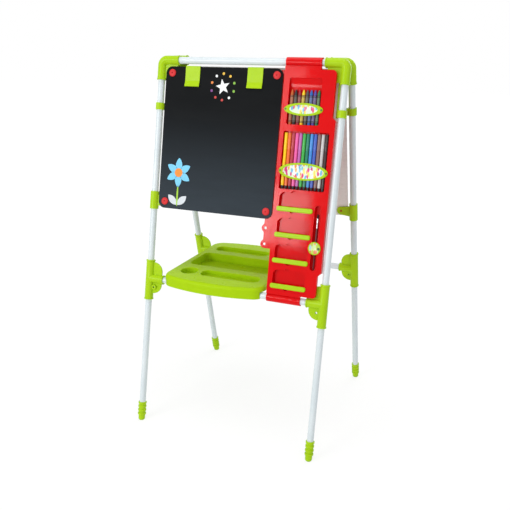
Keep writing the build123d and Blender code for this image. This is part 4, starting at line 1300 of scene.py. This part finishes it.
    def channel_rim(self) -> None:
        """Lay the raised rim round the brush channel."""
        low, high = self.plane.extent("paint_brush")
        face = self.plane.extent("crayon_band")[0].y
        across, down = self.channel
        middle, top, reach = (low.x + high.x) / 2, low.z - self.brush_drop, across / 2 + self.rim_gap
        ends = ((top + across / 2, math.pi), (top + down - across / 2, 0.0))
        path, steps = [], 16
        for centre, start in ends:
            for step in range(steps + 1):
                turn = start + math.pi * step / steps
                path.append((middle + reach * math.cos(turn), face, centre + reach * math.sin(turn)))
        rim = self.bead.make(path, self.rim_radius, RED, self.plane)
        present("caddy_channel_rim", rim, Side.FRONT.body, Slot.RED)

    def label_plate(self, node: str, rim: Sequence[float], label: Finish) -> Mesh:
        """Make an oval plate with a printed label sunk into its face.

        Args:
            node: Node that the plate stands for.
            rim: Width of the plain rim, across and down.
            label: Finish of the label.

        Returns:
            The plate, in place.
        """
        low, high = self.plane.extent(node)
        middle, half = (low + high) / 2, (high - low) / 2
        thick, soft, sunk = high.y - low.y, 0.5 * MM, 0.2 * MM
        stages = [(soft, soft, 0.0), (0.0, 0.0, soft), (0.0, 0.0, thick - soft), (soft, soft, thick)]
        stages += [(*rim, thick), (rim[0] + sunk, rim[1] + sunk, thick - sunk)]
        rings = []
        for across, down, rise in stages:
            loop = oval(2 * (half.x - across), 2 * (half.z - down), steps=96)
            rings.append([(middle.x + x, low.y + rise, middle.z + z) for x, z in loop])
        mesh = loft(f"{node}_plate", rings, [BARE] * len(rings), True)
        mesh.polygons[-1].material_index = 1
        mesh.set_sharp_from_angle(angle=PLATE_CREASE)
        for finish in (LIME, label):
            mesh.materials.append(finish.material())
        mesh.transform(self.plane.matrix)
        return mesh


@dataclass
class Tray:
    """Loose green tray across the two crossbars."""

    nodes: dict[str, Object]
    rounding: float = 0.8 * MM

    def build(self) -> None:
        """Round the tray's remaining edges."""
        deck = softened(self.nodes["tray"], self.rounding, GRAINED_LIME)
        present("tray_moulding", deck, "tray", Slot.GREEN, "tray")


# Studio


@dataclass
class Lamp:
    """Soft square lamp that faces a target."""

    name: str
    place: Place
    size: float
    power: float  # watts

    def build(self, target: Vector) -> None:
        """Hang the lamp and turn it to a target.

        Args:
            target: Place that it faces.
        """
        light = bpy.data.lights.new(self.name, "AREA")
        light.size = self.size
        light.energy = self.power
        lamp = bpy.data.objects.new(self.name, light)
        lamp.location = self.place
        lamp.rotation_euler = (target - lamp.location).to_track_quat("-Z", "Y").to_euler()
        bpy.context.scene.collection.objects.link(lamp)


@dataclass
class Studio:
    """White studio: pale floor, soft lamps, and the camera where the photograph was taken from."""

    eye: Place = (0.6876, -1.5569, 1.0332)
    aim: Place = (0.0837, 0.0, 0.4484)
    focal: float = 616.7  # pixels
    roll: float = 0.49  # degrees
    axis: tuple[float, float] = (26.3, 10.2)  # of the lens, in pixels right of and below the middle
    floor_size: float = 30.0
    paper: Colour = (0.86, 0.86, 0.86, 1.0)
    white: Colour = (1.0, 1.0, 1.0, 1.0)
    paper_light: float = 1.05  # strength of the floor's plain white
    sky: float = 0.55  # light of the world on the object
    floor_glow: float = 0.76  # share of plain white in the floor that is seen below the object
    floor_reach: tuple[float, float] = (0.5, 1.8)  # the share rises to 1 between these distances
    lamps: tuple[Lamp, ...] = (
        Lamp("key_lamp", (-1.75, -2.9, 1.6), 1.5, 44.0),
        Lamp("window_lamp", (-0.95, -2.9, 1.08), 0.42, 7.0),
        Lamp("fill_lamp", (2.6, -1.8, 1.4), 2.0, 12.0),
        Lamp("top_lamp", (0.0, -0.2, 3.4), 2.0, 34.0),
        Lamp("back_lamp", (0.8, 3.0, 1.8), 2.2, 32.0),
    )

    def build(self) -> None:
        """Set up the floor, world, lamps, camera and view."""
        self.floor()
        self.world()
        for lamp in self.lamps:
            lamp.build(Vector(self.aim))
        self.camera()
        bpy.context.scene.view_settings.view_transform = "Standard"

    def seen(self, tree: NodeTree) -> NodeSocket:
        """Find the rays that show the background itself: straight, mirrored or through clear pieces.

        Args:
            tree: Node tree that asks.

        Returns:
            Socket with 1 for such rays and 0 for the others.
        """
        path = add_node(tree, "ShaderNodeLightPath").outputs
        shown = path["Is Camera Ray"]
        for kind in ("Is Glossy Ray", "Is Transmission Ray"):
            either = {0: shown, 1: path[kind]}
            shown = add_node(tree, "ShaderNodeMath", either, operation="MAXIMUM").outputs[0]
        return shown

    def floor(self) -> None:
        """Lay a pale floor that looks white and keeps the object's shadow."""
        half = self.floor_size / 2
        mesh = bpy.data.meshes.new("studio_floor")
        places = [(-half, -half, 0), (half, -half, 0), (half, half, 0), (-half, half, 0)]
        mesh.from_pydata(places, [], [(0, 1, 2, 3)])
        material = bpy.data.materials.new("studio_paper")
        material.use_nodes = True
        tree = material.node_tree
        tree.nodes.clear()
        matt = add_node(tree, "ShaderNodeBsdfDiffuse", {"Color": self.paper})
        white = add_node(tree, "ShaderNodeEmission", {"Color": self.white, "Strength": self.paper_light})
        place = add_node(tree, "ShaderNodeTexCoord").outputs["Object"]
        away = add_node(tree, "ShaderNodeVectorMath", {0: place}, operation="LENGTH").outputs["Value"]
        near, far = self.floor_reach
        span = {"Value": away, "From Min": near, "From Max": far, "To Min": self.floor_glow}
        glow = add_node(tree, "ShaderNodeMapRange", span, interpolation_type="SMOOTHSTEP").outputs["Result"]
        share = add_node(tree, "ShaderNodeMath", {0: self.seen(tree), 1: glow}, operation="MULTIPLY")
        layers = {0: share.outputs[0], 1: matt.outputs[0], 2: white.outputs[0]}
        mix = add_node(tree, "ShaderNodeMixShader", layers)
        add_node(tree, "ShaderNodeOutputMaterial", {"Surface": mix.outputs[0]})
        mesh.materials.append(material)
        held("studio_floor", mesh)

    def world(self) -> None:
        """Light the object evenly, with white behind it."""
        world = bpy.data.worlds.new("white_studio")
        bpy.context.scene.world = world
        world.use_nodes = True
        tree = world.node_tree
        tree.nodes.clear()
        span = {"Value": self.seen(tree), "To Min": self.sky, "To Max": 1.0}
        strength = add_node(tree, "ShaderNodeMapRange", span)
        light = {"Color": self.white, "Strength": strength.outputs["Result"]}
        background = add_node(tree, "ShaderNodeBackground", light)
        add_node(tree, "ShaderNodeOutputWorld", {"Surface": background.outputs["Background"]})

    def camera(self) -> None:
        """Place the camera at the photograph's viewpoint."""
        lens = bpy.data.cameras.new("camera")
        lens.lens = self.focal * lens.sensor_width / PICTURE_WIDTH
        lens.shift_x, lens.shift_y = -self.axis[0] / PICTURE_WIDTH, self.axis[1] / PICTURE_WIDTH
        lens.dof.use_dof = False
        camera = bpy.data.objects.new("camera", lens)
        look = (Vector(self.aim) - Vector(self.eye)).to_track_quat("-Z", "Y").to_matrix().to_4x4()
        level = Matrix.Rotation(math.radians(self.roll), 4, "Z")
        camera.matrix_world = Matrix.Translation(self.eye) @ look @ level
        bpy.context.scene.collection.objects.link(camera)
        bpy.context.scene.camera = camera


def main() -> None:
    """Dress the frame, piece by piece, and set up the studio."""
    logging.basicConfig(level=logging.INFO, format="%(name)s %(message)s")
    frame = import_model()
    nodes = frame["nodes"]
    repeats = Repeats()
    planes = {side: LeaningPlane.of(side, nodes) for side in Side}
    for side in Side:
        TubeFrame(side, nodes).build()
    for hand in HANDS:
        coat(nodes[f"{hand}_hinge_pin"], STEEL)
    Blackboard(planes[Side.FRONT], repeats).build()
    Whiteboard(planes[Side.REAR], repeats).build()
    Caddy(planes[Side.FRONT], repeats, Bead()).build()
    Tray(nodes).build()
    Studio().build()


if __name__ == "__main__":
    main()
